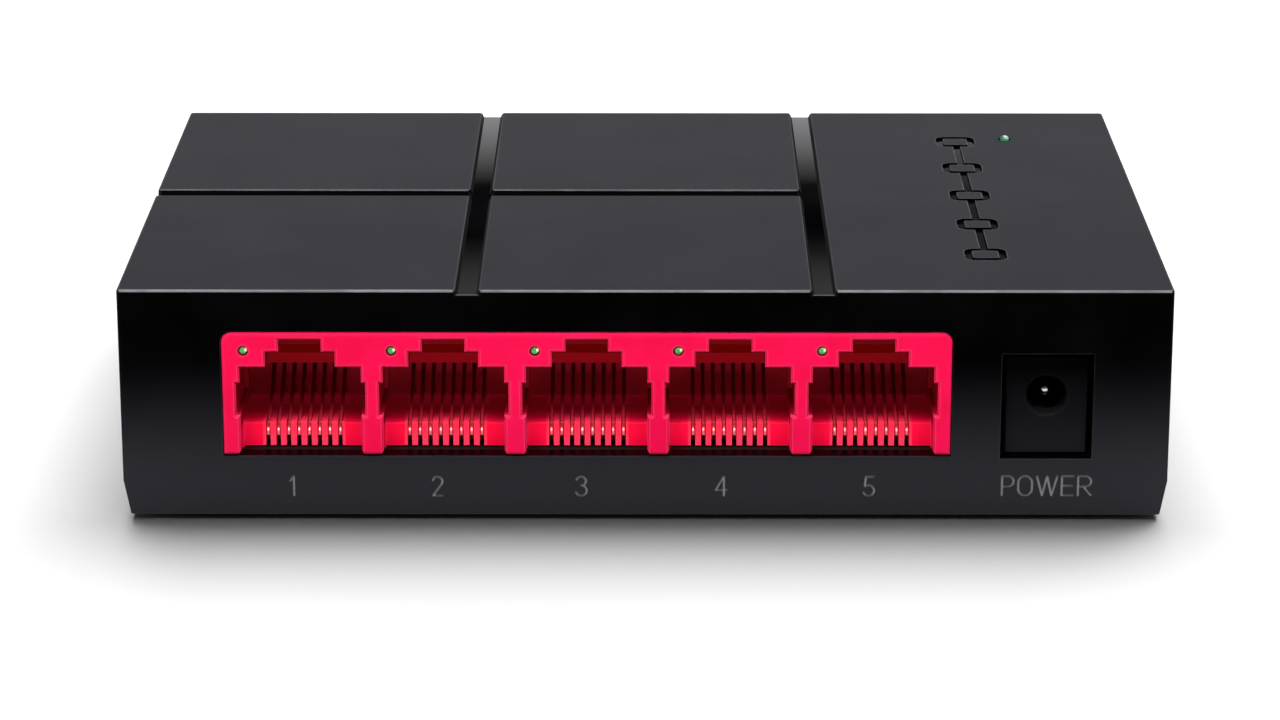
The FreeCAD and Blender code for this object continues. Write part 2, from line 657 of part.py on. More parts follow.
def port_space(x):
    """Everything that one port cuts out of the housing."""
    face = PORT_FACE_Y
    mouth = Part.Face(opening_outline(x, face - 1, 0)).extrude(Vector(0, LIP_Y - face + 1, 0))
    bevel = Part.makeLoft(
        [
            opening_outline(x, face - OPENING_EDGE, 2 * OPENING_EDGE),
            opening_outline(x, face + OPENING_EDGE, 0),
        ],
        True,
        True,
    )
    over = 0.05
    back = LIP_Y - over
    space = [
        mouth,
        bevel,
        box(x - MAIN_HALF, x + MAIN_HALF, back, STOP_Y, FLOOR_Z, MAIN_TOP_Z),
        box(x - RECESS_HALF, x + RECESS_HALF, back, face + RECESS_DEPTH, RECESS_LOW_Z, RECESS_TOP_Z),
        box(x - STEP_HALF, x + STEP_HALF, face + FRAME_T, STOP_Y - 0.5, MAIN_TOP_Z - over, NOTCH_TOP_Z),
        box(x - STEP_HALF, x + STEP_HALF, STOP_Y - 0.6, RELIEF_BACK_Y, RELIEF_Z, NOTCH_TOP_Z),
        box(x - 4.1, x + 4.1, RIB_END_Y, STOP_Y, FLOOR_Z - 0.82, FLOOR_Z + over),
        box(x - MAIN_HALF, x + MAIN_HALF, back, LIP_Y + 2.0, BOARD_TOP - 1, BOARD_TOP + LIP_GAP),
    ]
    pocket = INSERT_HALF + 0.1
    pocket_top = INSERT_TOP + 0.1
    space.append(box(x - pocket, x + pocket, INSERT_FRONT_Y, GANG_BACK_Y + 1, BOARD_TOP - 1, pocket_top))
    space.append(box(x - 4.5, x + 4.5, -19.5, GANG_BACK_Y + 1, 12.6, 16.2))
    half = SLOT_W / 2
    run_top = RUN_Z + WIRE / 2 + 0.25
    for dx in CONTACT_X:
        c = x + dx
        space.append(box(c - half, c + half, back, RIB_END_Y, BOARD_TOP - 1, FLOOR_Z + over))
        space.append(
            box(c - half, c + half, RIB_END_Y - over, INSERT_FRONT_Y + over, BOARD_TOP - 1, run_top)
        )
        space.append(box(c - half, c + half, STOP_Y - over, COMB_BACK_Y, *COMB_Z))
    return space


def port_housing():
    r = GANG_CORNER_R
    bar = joined(
        [
            box(GANG_X0, GANG_X1, PORT_FACE_Y, GANG_BACK_Y, BOARD_TOP, GANG_TOP - r),
            box(GANG_X0 + r, GANG_X1 - r, PORT_FACE_Y, GANG_BACK_Y, GANG_TOP - r - 1, GANG_TOP),
        ]
        + [
            cylinder(r, (x, PORT_FACE_Y, GANG_TOP - r), (x, GANG_BACK_Y, GANG_TOP - r))
            for x in (GANG_X0 + r, GANG_X1 - r)
        ]
    )
    step = box(GANG_X0 - 1, GANG_X1 + 1, PORT_FACE_Y - 1, BOARD_FRONT_Y + 0.3, 0, WEB_BOTTOM)
    bar = cut(bar, [step])
    rim = edges_at(bar, lambda p: p.y < PORT_FACE_Y + 1e-4)
    bar = bar.makeFillet(GANG_EDGE_R, rim)
    holes = [tool for x in PORT_X for tool in port_space(x)]
    for x in GUIDE_X:
        holes.append(cylinder(GUIDE_R + 0.075, (x, PORT_FACE_Y - 1, GUIDE_Z), (x, GANG_BACK_Y + 1, GUIDE_Z)))
    bar = cut(bar, holes)
    pegs = [
        cylinder(GANG_PEG_R, (x, GANG_PEG_Y, BOARD_TOP - 1.2), (x, GANG_PEG_Y, BOARD_TOP + 0.5))
        for x in gang_peg_places()
    ]
    return joined([bar] + pegs)


# ---------------------------------------------------------------- springs: bent strip with a free beam
def spring_bend(y, z, radius, thick, rise, forward):
    """A bend in the YZ plane that turns a level run back over itself.

    The run arrives at (y, z) towards forward (-1 or +1 along Y). Returns the bend's face, the
    point where the free beam starts and the direction of the beam, as (y, z) pairs.
    """
    turn = math.radians(180 - rise)
    centre = (y, z + radius)

    def on_arc(r, share):
        angle = -math.pi / 2 + turn * share
        return Vector(0, centre[0] + forward * r * math.cos(angle), centre[1] + r * math.sin(angle))

    outer = radius + thick / 2
    inner = radius - thick / 2
    edges = [
        Part.Arc(*(on_arc(outer, s) for s in (0, 0.5, 1))).toShape(),
        Part.LineSegment(on_arc(outer, 1), on_arc(inner, 1)).toShape(),
        Part.Arc(*(on_arc(inner, s) for s in (1, 0.5, 0))).toShape(),
        Part.LineSegment(on_arc(inner, 0), on_arc(outer, 0)).toShape(),
    ]
    start = on_arc(radius, 1)
    slope = math.radians(rise)
    return Part.Face(Part.Wire(edges)), (start.y, start.z), (-forward * math.cos(slope), math.sin(slope))


def across(face, x, half):
    """A face in the YZ plane, made into a strip that is centred on x."""
    return moved(face, x - half).extrude(Vector(2 * half, 0, 0))


CONTACT_BEND_Y = LIP_Y + 0.1 + WIRE / 2 + BEND_R
CONTACT_BEND = spring_bend(CONTACT_BEND_Y, RUN_Z, BEND_R, WIRE, BEAM_RISE, -1)
LEAF_RISE = math.degrees(
    math.atan2(LEAF_BUMP[1] - LEAF_RUN_Z - 2 * LEAF_BEND_R, LEAF_BEND_Y - LEAF_BUMP[0])
)
LEAF_BEND = spring_bend(LEAF_BEND_Y, LEAF_RUN_Z, LEAF_BEND_R, LEAF_T, LEAF_RISE, 1)


def contact_tail(x, row_y):
    """Soldered leg, run along the board and front bend of one contact, up to its beam."""
    half = WIRE / 2
    bend, (hinge_y, hinge_z), _ = CONTACT_BEND
    return joined(
        [
            box(x - half, x + half, row_y - half, row_y + half, TAIL_END_Z, RUN_Z + half),
            box(x - half, x + half, CONTACT_BEND_Y, row_y, RUN_Z - half, RUN_Z + half),
            across(bend, x, half),
            cylinder(half, (x - half, hinge_y, hinge_z), (x + half, hinge_y, hinge_z)),
        ]
    )


def beam(x, half_width, thick, hinge, along, length):
    """A straight free beam that starts just clear of the round end it hinges on."""
    (y, z), (dy, dz) = hinge, along
    ny, nz = -dz * thick / 2, dy * thick / 2
    start, end = 0.05, length
    corners = [
        (y + dy * start + ny, z + dz * start + nz),
        (y + dy * end + ny, z + dz * end + nz),
        (y + dy * end - ny, z + dz * end - nz),
        (y + dy * start - ny, z + dz * start - nz),
    ]
    bar = prism(corners, "x", x - half_width, 2 * half_width)
    clear = thick / 2 + HINGE_GAP
    wide = half_width + 1
    return bar, cylinder(clear, (x - wide, y, z), (x + wide, y, z))


def contact_beam(x):
    """The free beam of one contact, with a round tip."""
    _, hinge, along = CONTACT_BEND
    half = WIRE / 2
    bar, clearance = beam(x, half, WIRE, hinge, along, BEAM_L)
    tip_y, tip_z = hinge[0] + along[0] * BEAM_L, hinge[1] + along[1] * BEAM_L
    tip = cylinder(half, (x - half, tip_y, tip_z), (x + half, tip_y, tip_z))
    return cut(joined([bar, tip]), [clearance])


def wire_holder(port_x):
    """The insert that keeps the contacts' runs and legs in place behind a port."""
    x0, x1 = port_x - INSERT_HALF, port_x + INSERT_HALF
    block = box(x0, x1, INSERT_FRONT_Y + 0.1, GANG_BACK_Y - 0.3, BOARD_TOP, INSERT_TOP)
    half = WIRE / 2 + 0.03
    grooves = []
    for n, dx in enumerate(CONTACT_X):
        c = port_x + dx
        end = TAIL_ROWS[n % 2] + half
        grooves.append(box(c - half, c + half, INSERT_FRONT_Y - 1, end, BOARD_TOP - 1, RUN_Z + half))
    return cut(block, grooves)


# ---------------------------------------------------------------- lights
def port_light_guide():
    """Five round pipes with domed ends, bent down to the board by a slanted face, on one rail."""
    leg_half = 0.8
    y0, y1 = GUIDE_LEG_Y - leg_half, GUIDE_LEG_Y + leg_half
    leg_top = GUIDE_Z + leg_half
    parts = [box(GUIDE_X[0], GUIDE_X[-1], y0, y0 + 1.0, 15.4, 16.9)]
    bevels = []
    for x in GUIDE_X:
        dome_y = PORT_FACE_Y + 0.03 + GUIDE_R
        parts.append(Part.makeSphere(GUIDE_R, Vector(x, dome_y, GUIDE_Z)))
        parts.append(cylinder(GUIDE_R, (x, dome_y, GUIDE_Z), (x, y0 + 0.2, GUIDE_Z)))
        parts.append(box(x - leg_half, x + leg_half, y0, y1, BOARD_TOP + 1.25, leg_top))
        slant = [(y1 + 0.1, leg_top - 1.5), (y1 + 0.1, leg_top + 0.1), (y1 - 1.5, leg_top + 0.1)]
        bevels.append(prism(slant, "x", x - 1, 2))
    return cut(joined(parts), bevels)


def power_light_guide():
    x, y = POWER_LIGHT
    dome_z = CASE_TOP + POWER_LIGHT_PROUD - POWER_LIGHT_R
    return joined(
        [
            cylinder(1.2, (x, y, BOARD_TOP + 1.25), (x, y, ROOF_UNDER - 0.6)),
            cylinder(POWER_LIGHT_R, (x, y, ROOF_UNDER - 1), (x, y, dome_z)),
            Part.makeSphere(POWER_LIGHT_R, Vector(x, y, dome_z)),
        ]
    )


def led(x, y):
    """A small surface-mount LED: base with two plated ends, and a clear block on top."""
    base = box(x - 0.8, x + 0.8, y - 0.4, y + 0.4, BOARD_TOP, BOARD_TOP + 0.3)
    lens = prism(
        [
            (x - 0.55, BOARD_TOP + 0.25),
            (x - 0.5, BOARD_TOP + 0.8),
            (x + 0.5, BOARD_TOP + 0.8),
            (x + 0.55, BOARD_TOP + 0.25),
        ],
        "y",
        y - 0.4,
        0.8,
    )
    return joined([base, lens])


# ---------------------------------------------------------------- power socket
def dc_jack_housing():
    x0, x1 = JACK_X - JACK_W / 2, JACK_X + JACK_W / 2
    block = box(x0, x1, JACK_FACE_Y, JACK_BACK_Y, BOARD_TOP, BOARD_TOP + JACK_H)
    block = block.makeChamfer(JACK_EDGE, edges_at(block, lambda p: p.y < JACK_FACE_Y + 1e-4))
    pegs = [
        cylinder(JACK_PEG_R, (x, JACK_PEG_Y, BOARD_TOP - 1.2), (x, JACK_PEG_Y, BOARD_TOP + 0.5))
        for x in (JACK_X - JACK_PEG_DX, JACK_X + JACK_PEG_DX)
    ]
    lead_in = 0.25
    holes = [
        cylinder(BORE_R, (JACK_X, JACK_FACE_Y - 1, JACK_Z), (JACK_X, BORE_END_Y, JACK_Z)),
        cone(
            BORE_R + lead_in,
            BORE_R - lead_in / 5,
            (JACK_X, JACK_FACE_Y - lead_in / 5, JACK_Z),
            (JACK_X, JACK_FACE_Y + lead_in, JACK_Z),
        ),
        cylinder(PIN_NECK_R + 0.01, (JACK_X, BORE_END_Y - 1, JACK_Z), (JACK_X, JACK_BACK_Y + 1, JACK_Z)),
        box(JACK_X - 1.3, JACK_X + 1.3, -31.6, -21.4, BOARD_TOP + 0.9, 11.2),
        box(JACK_X - 0.85, JACK_X + 0.85, LEAF_TAIL_Y - 0.3, LEAF_TAIL_Y + 0.3, 0, BOARD_TOP + 1),
    ]
    return cut(joined([block] + pegs), holes)


def dc_jack_center_pin():
    """The centre contact: a pin with a round tip, on a plate with a solder leg."""
    plate_y = JACK_BACK_Y + 0.02
    return joined(
        [
            Part.makeSphere(PIN_R, Vector(JACK_X, PIN_TIP_Y + PIN_R, JACK_Z)),
            cylinder(PIN_R, (JACK_X, PIN_TIP_Y + PIN_R, JACK_Z), (JACK_X, BORE_END_Y - 0.1, JACK_Z)),
            cylinder(PIN_NECK_R, (JACK_X, BORE_END_Y - 0.2, JACK_Z), (JACK_X, plate_y + 0.3, JACK_Z)),
            box(JACK_X - 1.3, JACK_X + 1.3, plate_y, plate_y + 0.45, 10.5, 14.0),
            box(JACK_X - 0.7, JACK_X + 0.7, plate_y, plate_y + 0.45, TAIL_END_Z, 11.0),
        ]
    )


def dc_jack_sleeve_terminal():
    """The outer contact's fixed half: solder leg, run on the socket's floor, and bend."""
    half = LEAF_T / 2
    bend, (hinge_y, hinge_z), _ = LEAF_BEND
    tail = box(
        JACK_X - 0.75,
        JACK_X + 0.75,
        LEAF_TAIL_Y - half,
        LEAF_TAIL_Y + half,
        TAIL_END_Z,
        LEAF_RUN_Z + half,
    )
    run = box(
        JACK_X - LEAF_HALF,
        JACK_X + LEAF_HALF,
        LEAF_TAIL_Y - half,
        LEAF_BEND_Y,
        LEAF_RUN_Z - half,
        LEAF_RUN_Z + half,
    )
    cap = cylinder(half, (JACK_X - LEAF_HALF, hinge_y, hinge_z), (JACK_X + LEAF_HALF, hinge_y, hinge_z))
    return joined([tail, run, across(bend, JACK_X, LEAF_HALF), cap])


def dc_jack_leaf_spring():
    """The outer contact's free leaf: up to the bump that presses on the plug, then down."""
    _, hinge, along = LEAF_BEND
    half = LEAF_T / 2
    to_bump = math.hypot(LEAF_BUMP[0] - hinge[0], LEAF_BUMP[1] - hinge[1])
    rising, clearance = beam(JACK_X, LEAF_HALF, LEAF_T, hinge, along, to_bump)
    bump_y, bump_z = hinge[0] + along[0] * to_bump, hinge[1] + along[1] * to_bump
    fall_y, fall_z = LEAF_TIP[0] - bump_y, LEAF_TIP[1] - bump_z
    fall = math.hypot(fall_y, fall_z)
    falling, _ = beam(JACK_X, LEAF_HALF, LEAF_T, (bump_y, bump_z), (fall_y / fall, fall_z / fall), fall)
    bump = cylinder(half, (JACK_X - LEAF_HALF, bump_y, bump_z), (JACK_X + LEAF_HALF, bump_y, bump_z))
    return cut(joined([rising, bump, falling]), [clearance])


# ---------------------------------------------------------------- electronics on the board
def gull_lead(width, reach, thick=0.15):
    """A gull-wing lead that leaves a body at x = 0 towards +X and stands on the board."""
    z0 = BOARD_TOP
    z1 = z0 + LEAD_RISE
    knee, ankle = reach * 0.35, reach * 0.55
    profile = [
        (0, z1),
        (knee, z1),
        (ankle, z0 + thick),
        (reach, z0 + thick),
        (reach, z0),
        (ankle - thick, z0),
        (knee - thick, z1 - thick),
        (0, z1 - thick),
    ]
    return prism(profile, "y", -width / 2, width)


def lead_row(x, y, half_body, count, pitch, width, reach, turn):
    """A row of leads on one side of a body; turn is the side's direction in degrees."""
    row = []
    for n in range(count):
        lead = moved(gull_lead(width, reach), half_body, pitch * (n - (count - 1) / 2))
        lead.rotate(Vector(0, 0, 0), Vector(0, 0, 1), turn)
        row.append(moved(lead, x, y))
    return row


def chip_body(x, y, width, depth, height, stand=0.1):
    """A moulded package with draft on its sides and a pin-one dimple."""
    low = BOARD_TOP + stand
    middle = low + height / 2
    lean = 0.12
    small = (x - width / 2 + lean, x + width / 2 - lean, y - depth / 2 + lean, y + depth / 2 - lean)
    wide = (x - width / 2, x + width / 2, y - depth / 2, y + depth / 2)
    waist = rounded_rect(*wide, middle, 0.15)
    lower = Part.makeLoft([rounded_rect(*small, low, 0.15), waist], True, True)
    upper = Part.makeLoft([waist, rounded_rect(*small, low + height, 0.15)], True, True)
    mark = cylinder(
        0.35,
        (small[0] + 0.8, small[2] + 0.8, low + height - 0.1),
        (small[0] + 0.8, small[2] + 0.8, low + height + 1),
    )
    return cut(joined([lower, upper]), [mark])


def switch_chip():
    return chip_body(*SWITCH_CHIP, SWITCH_SIZE, SWITCH_SIZE, 1.4)


def switch_chip_leads():
    x, y = SWITCH_CHIP
    rows = [lead_row(x, y, SWITCH_SIZE / 2, 16, 0.8, 0.35, 1.0, turn) for turn in (0, 90, 180, 270)]
    return group([lead for row in rows for lead in row])


def eight_leads(x, y):
    half = SMALL_CHIP[1] / 2
    rows = [lead_row(x, y, half, 4, 1.27, 0.42, 1.05, turn) for turn in (90, 270)]
    return group([lead for row in rows for lead in row])


def lan_transformer_leads():
    leads = []
    for x in PORT_X:
        for turn in (90, 270):
            leads += lead_row(x, TRANSFORMER_Y, TRANSFORMER[1] / 2, 8, 1.27, 0.5, 1.2, turn)
    return group(leads)


def crystal(x, y):
    """A low metal can with round ends on a flat base."""
    base = rounded_plate(x - 5.7, x + 5.7, y - 2.35, y + 2.35, BOARD_TOP, BOARD_TOP + 0.5, 0.3)
    can = rounded_plate(x - 5.1, x + 5.1, y - 1.85, y + 1.85, BOARD_TOP + 0.4, BOARD_TOP + 3.6, 1.84)
    can = can.makeFillet(0.4, edges_at(can, lambda p: p.z > BOARD_TOP + 3.5))
    return joined([base, can])


def power_inductor(x, y):
    """A square ferrite shield with cut corners around a round drum."""
    half, cut_corner, height = 3.1, 1.0, 3.0
    a, b = half, half - cut_corner
    outline = [(b, -a), (a, -b), (a, b), (b, a), (-b, a), (-a, b), (-a, -b), (-b, -a)]
    shield = prism([(x + u, y + v) for u, v in outline], "z", BOARD_TOP + 0.1, height)
    top = BOARD_TOP + 0.1 + height
    well = cut(
        cylinder(2.6, (x, y, top - 0.4), (x, y, top + 1)),
        [cylinder(2.2, (x, y, top - 1), (x, y, top + 2))],
    )
    feet = [
        box(foot_x - 0.6, foot_x + 0.6, y - 1, y + 1, BOARD_TOP, BOARD_TOP + 0.3)
        for foot_x in (x - 2.2, x + 2.2)
    ]
    return joined([cut(shield, [well])] + feet)


def capacitor_can(x, y):
    """A surface-mount electrolytic can on a square base, with its crimp and scored top."""
    base = rounded_plate(x - 3.3, x + 3.3, y - 3.3, y + 3.3, BOARD_TOP, BOARD_TOP + 0.9, 0.5)
    can = cylinder(3.15, (x, y, BOARD_TOP + 0.8), (x, y, BOARD_TOP + 7.7))
    can = can.makeFillet(0.5, edges_at(can, lambda p: p.z > BOARD_TOP + 7.6))
    crimp = cut(
        cylinder(3.6, (x, y, BOARD_TOP + 1.7), (x, y, BOARD_TOP + 2.1)),
        [cylinder(2.9, (x, y, BOARD_TOP + 1), (x, y, BOARD_TOP + 3))],
    )
    top = BOARD_TOP + 7.7
    score = [
        box(x - 2.2, x + 2.2, y - 0.12, y + 0.12, top - 0.12, top + 1),
        box(x - 0.12, x + 0.12, y - 2.2, y + 2.2, top - 0.12, top + 1),
    ]
    return joined([base, cut(can, [crimp] + score)])


def protection_diode(x, y):
    body = chip_body(x, y, 2.6, 4.2, 2.1, stand=0.15)
    tabs = [
        box(x - 1.0, x + 1.0, tab_y - 0.5, tab_y + 0.5, BOARD_TOP, BOARD_TOP + 0.2)
        for tab_y in (y - 2.1, y + 2.1)
    ]
    return joined([body] + tabs)


def brick(x, y, length, width, height):
    """A two-ended ceramic component, lengthways in X; the plated ends stand a little proud."""
    top = BOARD_TOP + height
    end = length * 0.22
    proud = 0.02
    side = width / 2 + proud
    body = box(x - length / 2, x + length / 2, y - width / 2, y + width / 2, BOARD_TOP + proud, top)
    caps = []
    for x0 in (x - length / 2 - proud, x + length / 2 + proud - end):
        caps.append(box(x0, x0 + end, y - side, y + side, BOARD_TOP, top + proud))
    return joined([body] + caps)


def ceramic_capacitors():
    around_chip = [(-16.2, y) for y in (7.0, 10.0, 13.0, 16.0)] + [(4.8, y) for y in (5.0, 7.5, 18.5, 21.0)]
    by_transformers = [(x + dx, 1.6) for x in PORT_X for dx in (-3.5, 3.5)]
    spots = [(x, y) for x, y in around_chip + by_transformers]
    return group([brick(x, y, 1.6, 0.8, 0.8) for x, y in spots])


def chip_resistors():
    by_lights = [(x + 3.2, GUIDE_LEG_Y) for x in GUIDE_X]
    by_memory = [(-20.0, y) for y in (12.0, 14.0, 16.0, 18.0)]
    by_regulator = [(22.0, y) for y in (2.0, 4.0, 6.0, 8.0)]
    return group([brick(x, y, 1.6, 0.8, 0.45) for x, y in by_lights + by_memory + by_regulator])


# ---------------------------------------------------------------- the assembly
def casing_nodes():
    return {
        "top_cover": top_cover(),
        "base_cover": base_cover(),
        "foot_front_left": foot(-1, FOOT_FRONT_Y),
        "foot_front_right": foot(1, FOOT_FRONT_Y),
        "foot_rear_left": foot(-1, FOOT_REAR_Y),
        "foot_rear_right": foot(1, FOOT_REAR_Y),
        "base_screws": group([base_screw(side) for side in (-1, 1)]),
        "rating_label": rating_label(),
    }


def port_nodes():
    nodes = {"port_housing": port_housing(), "port_light_guide": port_light_guide()}
    for number, port_x in enumerate(PORT_X, 1):
        name = f"port_{number}_"
        places = [port_x + dx for dx in CONTACT_X]
        tails = [contact_tail(x, TAIL_ROWS[n % 2]) for n, x in enumerate(places)]
        nodes[name + "contact_tails"] = group(tails)
        nodes[name + "spring_wires"] = group([contact_beam(x) for x in places])
        nodes[name + "wire_holder"] = wire_holder(port_x)
        nodes[name + "led"] = led(GUIDE_X[number - 1], GUIDE_LEG_Y)
    return nodes


def power_nodes():
    return {
        "dc_jack_housing": dc_jack_housing(),
        "dc_jack_center_pin": dc_jack_center_pin(),
        "dc_jack_sleeve_terminal": dc_jack_sleeve_terminal(),
        "dc_jack_leaf_spring": dc_jack_leaf_spring(),
        "power_light_guide": power_light_guide(),
        "power_led": led(*POWER_LIGHT),
    }


def board_nodes():
    nodes = {
        "circuit_board": circuit_board(),
        "switch_chip": switch_chip(),
        "switch_chip_leads": switch_chip_leads(),
        "lan_transformer_leads": lan_transformer_leads(),
        "crystal": crystal(14.0, 13.0),
        "config_memory_chip": chip_body(*MEMORY_CHIP, *SMALL_CHIP, 1.5),
        "config_memory_leads": eight_leads(*MEMORY_CHIP),
        "regulator_chip": chip_body(*REGULATOR_CHIP, *SMALL_CHIP, 1.5),
        "regulator_leads": eight_leads(*REGULATOR_CHIP),
        "power_inductor": power_inductor(36.5, 6.0),
        "capacitor_can_1": capacitor_can(34.6, -9.5),
        "capacitor_can_2": capacitor_can(43.4, -9.5),
        "protection_diode": protection_diode(43.5, 1.5),
        "ceramic_capacitors": ceramic_capacitors(),
        "chip_resistors": chip_resistors(),
    }
    for number, x in enumerate(PORT_X, 1):
        nodes[f"lan_transformer_{number}"] = chip_body(x, TRANSFORMER_Y, *TRANSFORMER)
    return nodes


def main():
    os.makedirs("parts", exist_ok=True)
    nodes = {**casing_nodes(), **port_nodes(), **power_nodes(), **board_nodes()}
    for name, shape in nodes.items():
        if not shape.isValid():
            raise ValueError(f"{name} is not a valid shape")
        shape.exportStep(f"parts/{name}.step")
    hinge_y, hinge_z = CONTACT_BEND[1]
    leaf_y, leaf_z = LEAF_BEND[1]
    print(f"{len(nodes)} nodes")
    print(f"contact hinge y {hinge_y:.4f} z {hinge_z:.4f}")
    print(f"leaf hinge y {leaf_y:.4f} z {leaf_z:.4f}, rise {LEAF_RISE:.2f} degrees")


main()
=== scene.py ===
"""Looks of the five-port desktop network switch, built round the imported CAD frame.

Objects are in metres of the row frame. Numbers in materials and wire paths are millimetres of it.
"""
import bpy
import json
import math
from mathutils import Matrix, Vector


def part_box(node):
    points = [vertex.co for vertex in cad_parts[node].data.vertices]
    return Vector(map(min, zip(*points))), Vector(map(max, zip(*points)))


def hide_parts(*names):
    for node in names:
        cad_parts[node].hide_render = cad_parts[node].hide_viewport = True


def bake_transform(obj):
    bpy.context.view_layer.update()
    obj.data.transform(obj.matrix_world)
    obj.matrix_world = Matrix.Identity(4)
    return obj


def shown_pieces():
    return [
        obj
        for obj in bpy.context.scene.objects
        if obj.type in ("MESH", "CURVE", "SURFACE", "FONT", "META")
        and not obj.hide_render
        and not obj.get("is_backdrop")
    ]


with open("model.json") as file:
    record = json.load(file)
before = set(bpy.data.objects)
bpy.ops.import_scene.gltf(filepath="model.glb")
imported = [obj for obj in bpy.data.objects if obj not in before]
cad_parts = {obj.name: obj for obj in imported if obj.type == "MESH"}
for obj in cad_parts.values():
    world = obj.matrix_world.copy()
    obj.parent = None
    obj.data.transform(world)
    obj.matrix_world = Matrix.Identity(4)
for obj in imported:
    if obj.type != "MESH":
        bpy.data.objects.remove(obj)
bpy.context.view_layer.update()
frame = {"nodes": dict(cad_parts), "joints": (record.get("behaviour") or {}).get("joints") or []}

NODES = frame["nodes"]
JOINTS = {j["name"]: j for j in frame["joints"]}
MM = 0.001
PORTS = range(1, 6)
PORT_PITCH = 13.97


# ---------------------------------------------------------------- node graph helper
class Graph:
    """A material's node tree with short calls; points are in millimetres of the row frame."""

    def __init__(self, name):
        self.material = bpy.data.materials.new(name)
        self.material.use_nodes = True
        self.tree = self.material.node_tree
        self.shader = self.tree.nodes["Principled BSDF"]
        self.normal = self.add("ShaderNodeNewGeometry").outputs["True Normal"]
        place = self.add("ShaderNodeTexCoord")
        scaled = self.add("ShaderNodeVectorMath", operation="SCALE")
        self.link(place.outputs["Object"], scaled.inputs[0])
        scaled.inputs["Scale"].default_value = 1.0 / MM
        self.point = scaled.outputs[0]
        self.x, self.y, self.z = self.split(self.point)
        self.nx, self.ny, self.nz = self.split(self.normal)

    def add(self, kind, **settings):
        node = self.tree.nodes.new(kind)
        for key, value in settings.items():
            setattr(node, key, value)
        return node

    def link(self, source, target):
        self.tree.links.new(source, target)

    def put(self, socket, value):
        """Sets or links one input."""
        if isinstance(value, bpy.types.NodeSocket):
            self.link(value, socket)
        elif isinstance(value, tuple) and len(value) == 3 and socket.type == "RGBA":
            socket.default_value = (*value, 1.0)
        else:
            socket.default_value = value

    def split(self, vector):
        node = self.add("ShaderNodeSeparateXYZ")
        self.link(vector, node.inputs[0])
        return node.outputs[0], node.outputs[1], node.outputs[2]

    def math(self, operation, a, b=0.0, clamp=False):
        node = self.add("ShaderNodeMath", operation=operation, use_clamp=clamp)
        self.put(node.inputs[0], a)
        self.put(node.inputs[1], b)
        return node.outputs[0]

    def times(self, a, b):
        return self.math("MULTIPLY", a, b)

    def minus(self, a, b):
        return self.math("SUBTRACT", a, b)

    def either(self, a, b):
        """The larger of two numbers, or the union of two masks."""
        return self.math("MAXIMUM", a, b)

    def absolute(self, a):
        return self.math("ABSOLUTE", a)

    def dot(self, a, b):
        """Dot product of a linked vector and a linked or fixed one."""
        node = self.add("ShaderNodeVectorMath", operation="DOT_PRODUCT")
        self.link(a, node.inputs[0])
        self.put(node.inputs[1], b)
        return node.outputs["Value"]

    def scaled_point(self, factors):
        """The point with each coordinate times its factor."""
        node = self.add("ShaderNodeVectorMath", operation="MULTIPLY")
        self.link(self.point, node.inputs[0])
        node.inputs[1].default_value = factors
        return node.outputs[0]

    def ramp(self, value, low, high, to_low=0.0, to_high=1.0):
        """Smooth step from to_low at low to to_high at high."""
        node = self.add("ShaderNodeMapRange", interpolation_type="SMOOTHSTEP")
        for socket, given in zip(node.inputs, (value, low, high, to_low, to_high)):
            self.put(socket, given)
        return node.outputs[0]

    def fall(self, value, low, high):
        """1 at low, 0 at high."""
        return self.ramp(value, low, high, 1.0, 0.0)

    def between(self, value, low, high, soft=0.01):
        """1 from low to high, 0 outside."""
        rise = self.ramp(value, low - soft, low + soft)
        return self.times(rise, self.fall(value, high - soft, high + soft))

    def patches(self, value, to_low=0.0, to_high=1.0):
        """A noise value, most of which is near the middle, spread from to_low to to_high."""
        return self.ramp(value, 0.3, 0.7, to_low, to_high)

    def mix(self, share, a, b):
        """Colour mix."""
        node = self.add("ShaderNodeMix", data_type="RGBA")
        self.put(node.inputs[0], share)
        self.put(node.inputs[6], a)
        self.put(node.inputs[7], b)
        return node.outputs[2]

    def blend(self, share, a, b):
        """Number mix."""
        node = self.add("ShaderNodeMix", data_type="FLOAT")
        self.put(node.inputs[0], share)
        self.put(node.inputs[2], a)
        self.put(node.inputs[3], b)
        return node.outputs[0]

    def noise(self, size, detail=2.0, roughness=0.5, stretch=(1.0, 1.0, 1.0)):
        """Noise from 0 to 1 whose grains are about size millimetres across."""
        node = self.add("ShaderNodeTexNoise")
        self.link(self.scaled_point(tuple(s / size for s in stretch)), node.inputs["Vector"])
        node.inputs["Scale"].default_value = 1.0
        node.inputs["Detail"].default_value = detail
        node.inputs["Roughness"].default_value = roughness
        return node.outputs["Fac"]

    def cells(self, size):
        """Distance to the nearest of points about size millimetres apart."""
        node = self.add("ShaderNodeTexVoronoi", feature="F1")
        self.link(self.scaled_point((1.0 / size,) * 3), node.inputs["Vector"])
        node.inputs["Scale"].default_value = 1.0
        return node.outputs["Distance"]

    def edge(self, radius, gain=6.0):
        """1 near convex and concave edges, 0 on flat ground."""
        node = self.add("ShaderNodeBevel", samples=4)
        node.inputs["Radius"].default_value = radius * MM
        lean = self.minus(1.0, self.dot(node.outputs[0], self.normal))
        return self.math("MULTIPLY", lean, gain, clamp=True)

    def bump(self, height, depth):
        """A bump map from a 0..1 height that is depth millimetres deep."""
        node = self.add("ShaderNodeBump")
        node.inputs["Strength"].default_value = 1.0
        node.inputs["Distance"].default_value = depth * MM
        self.put(node.inputs["Height"], height)
        return node.outputs[0]

    def finish(self, **values):
        """Sets the shader's inputs by socket name, with _ for a space."""
        for key, value in values.items():
            self.put(self.shader.inputs[key.replace("_", " ")], value)
        return self.material


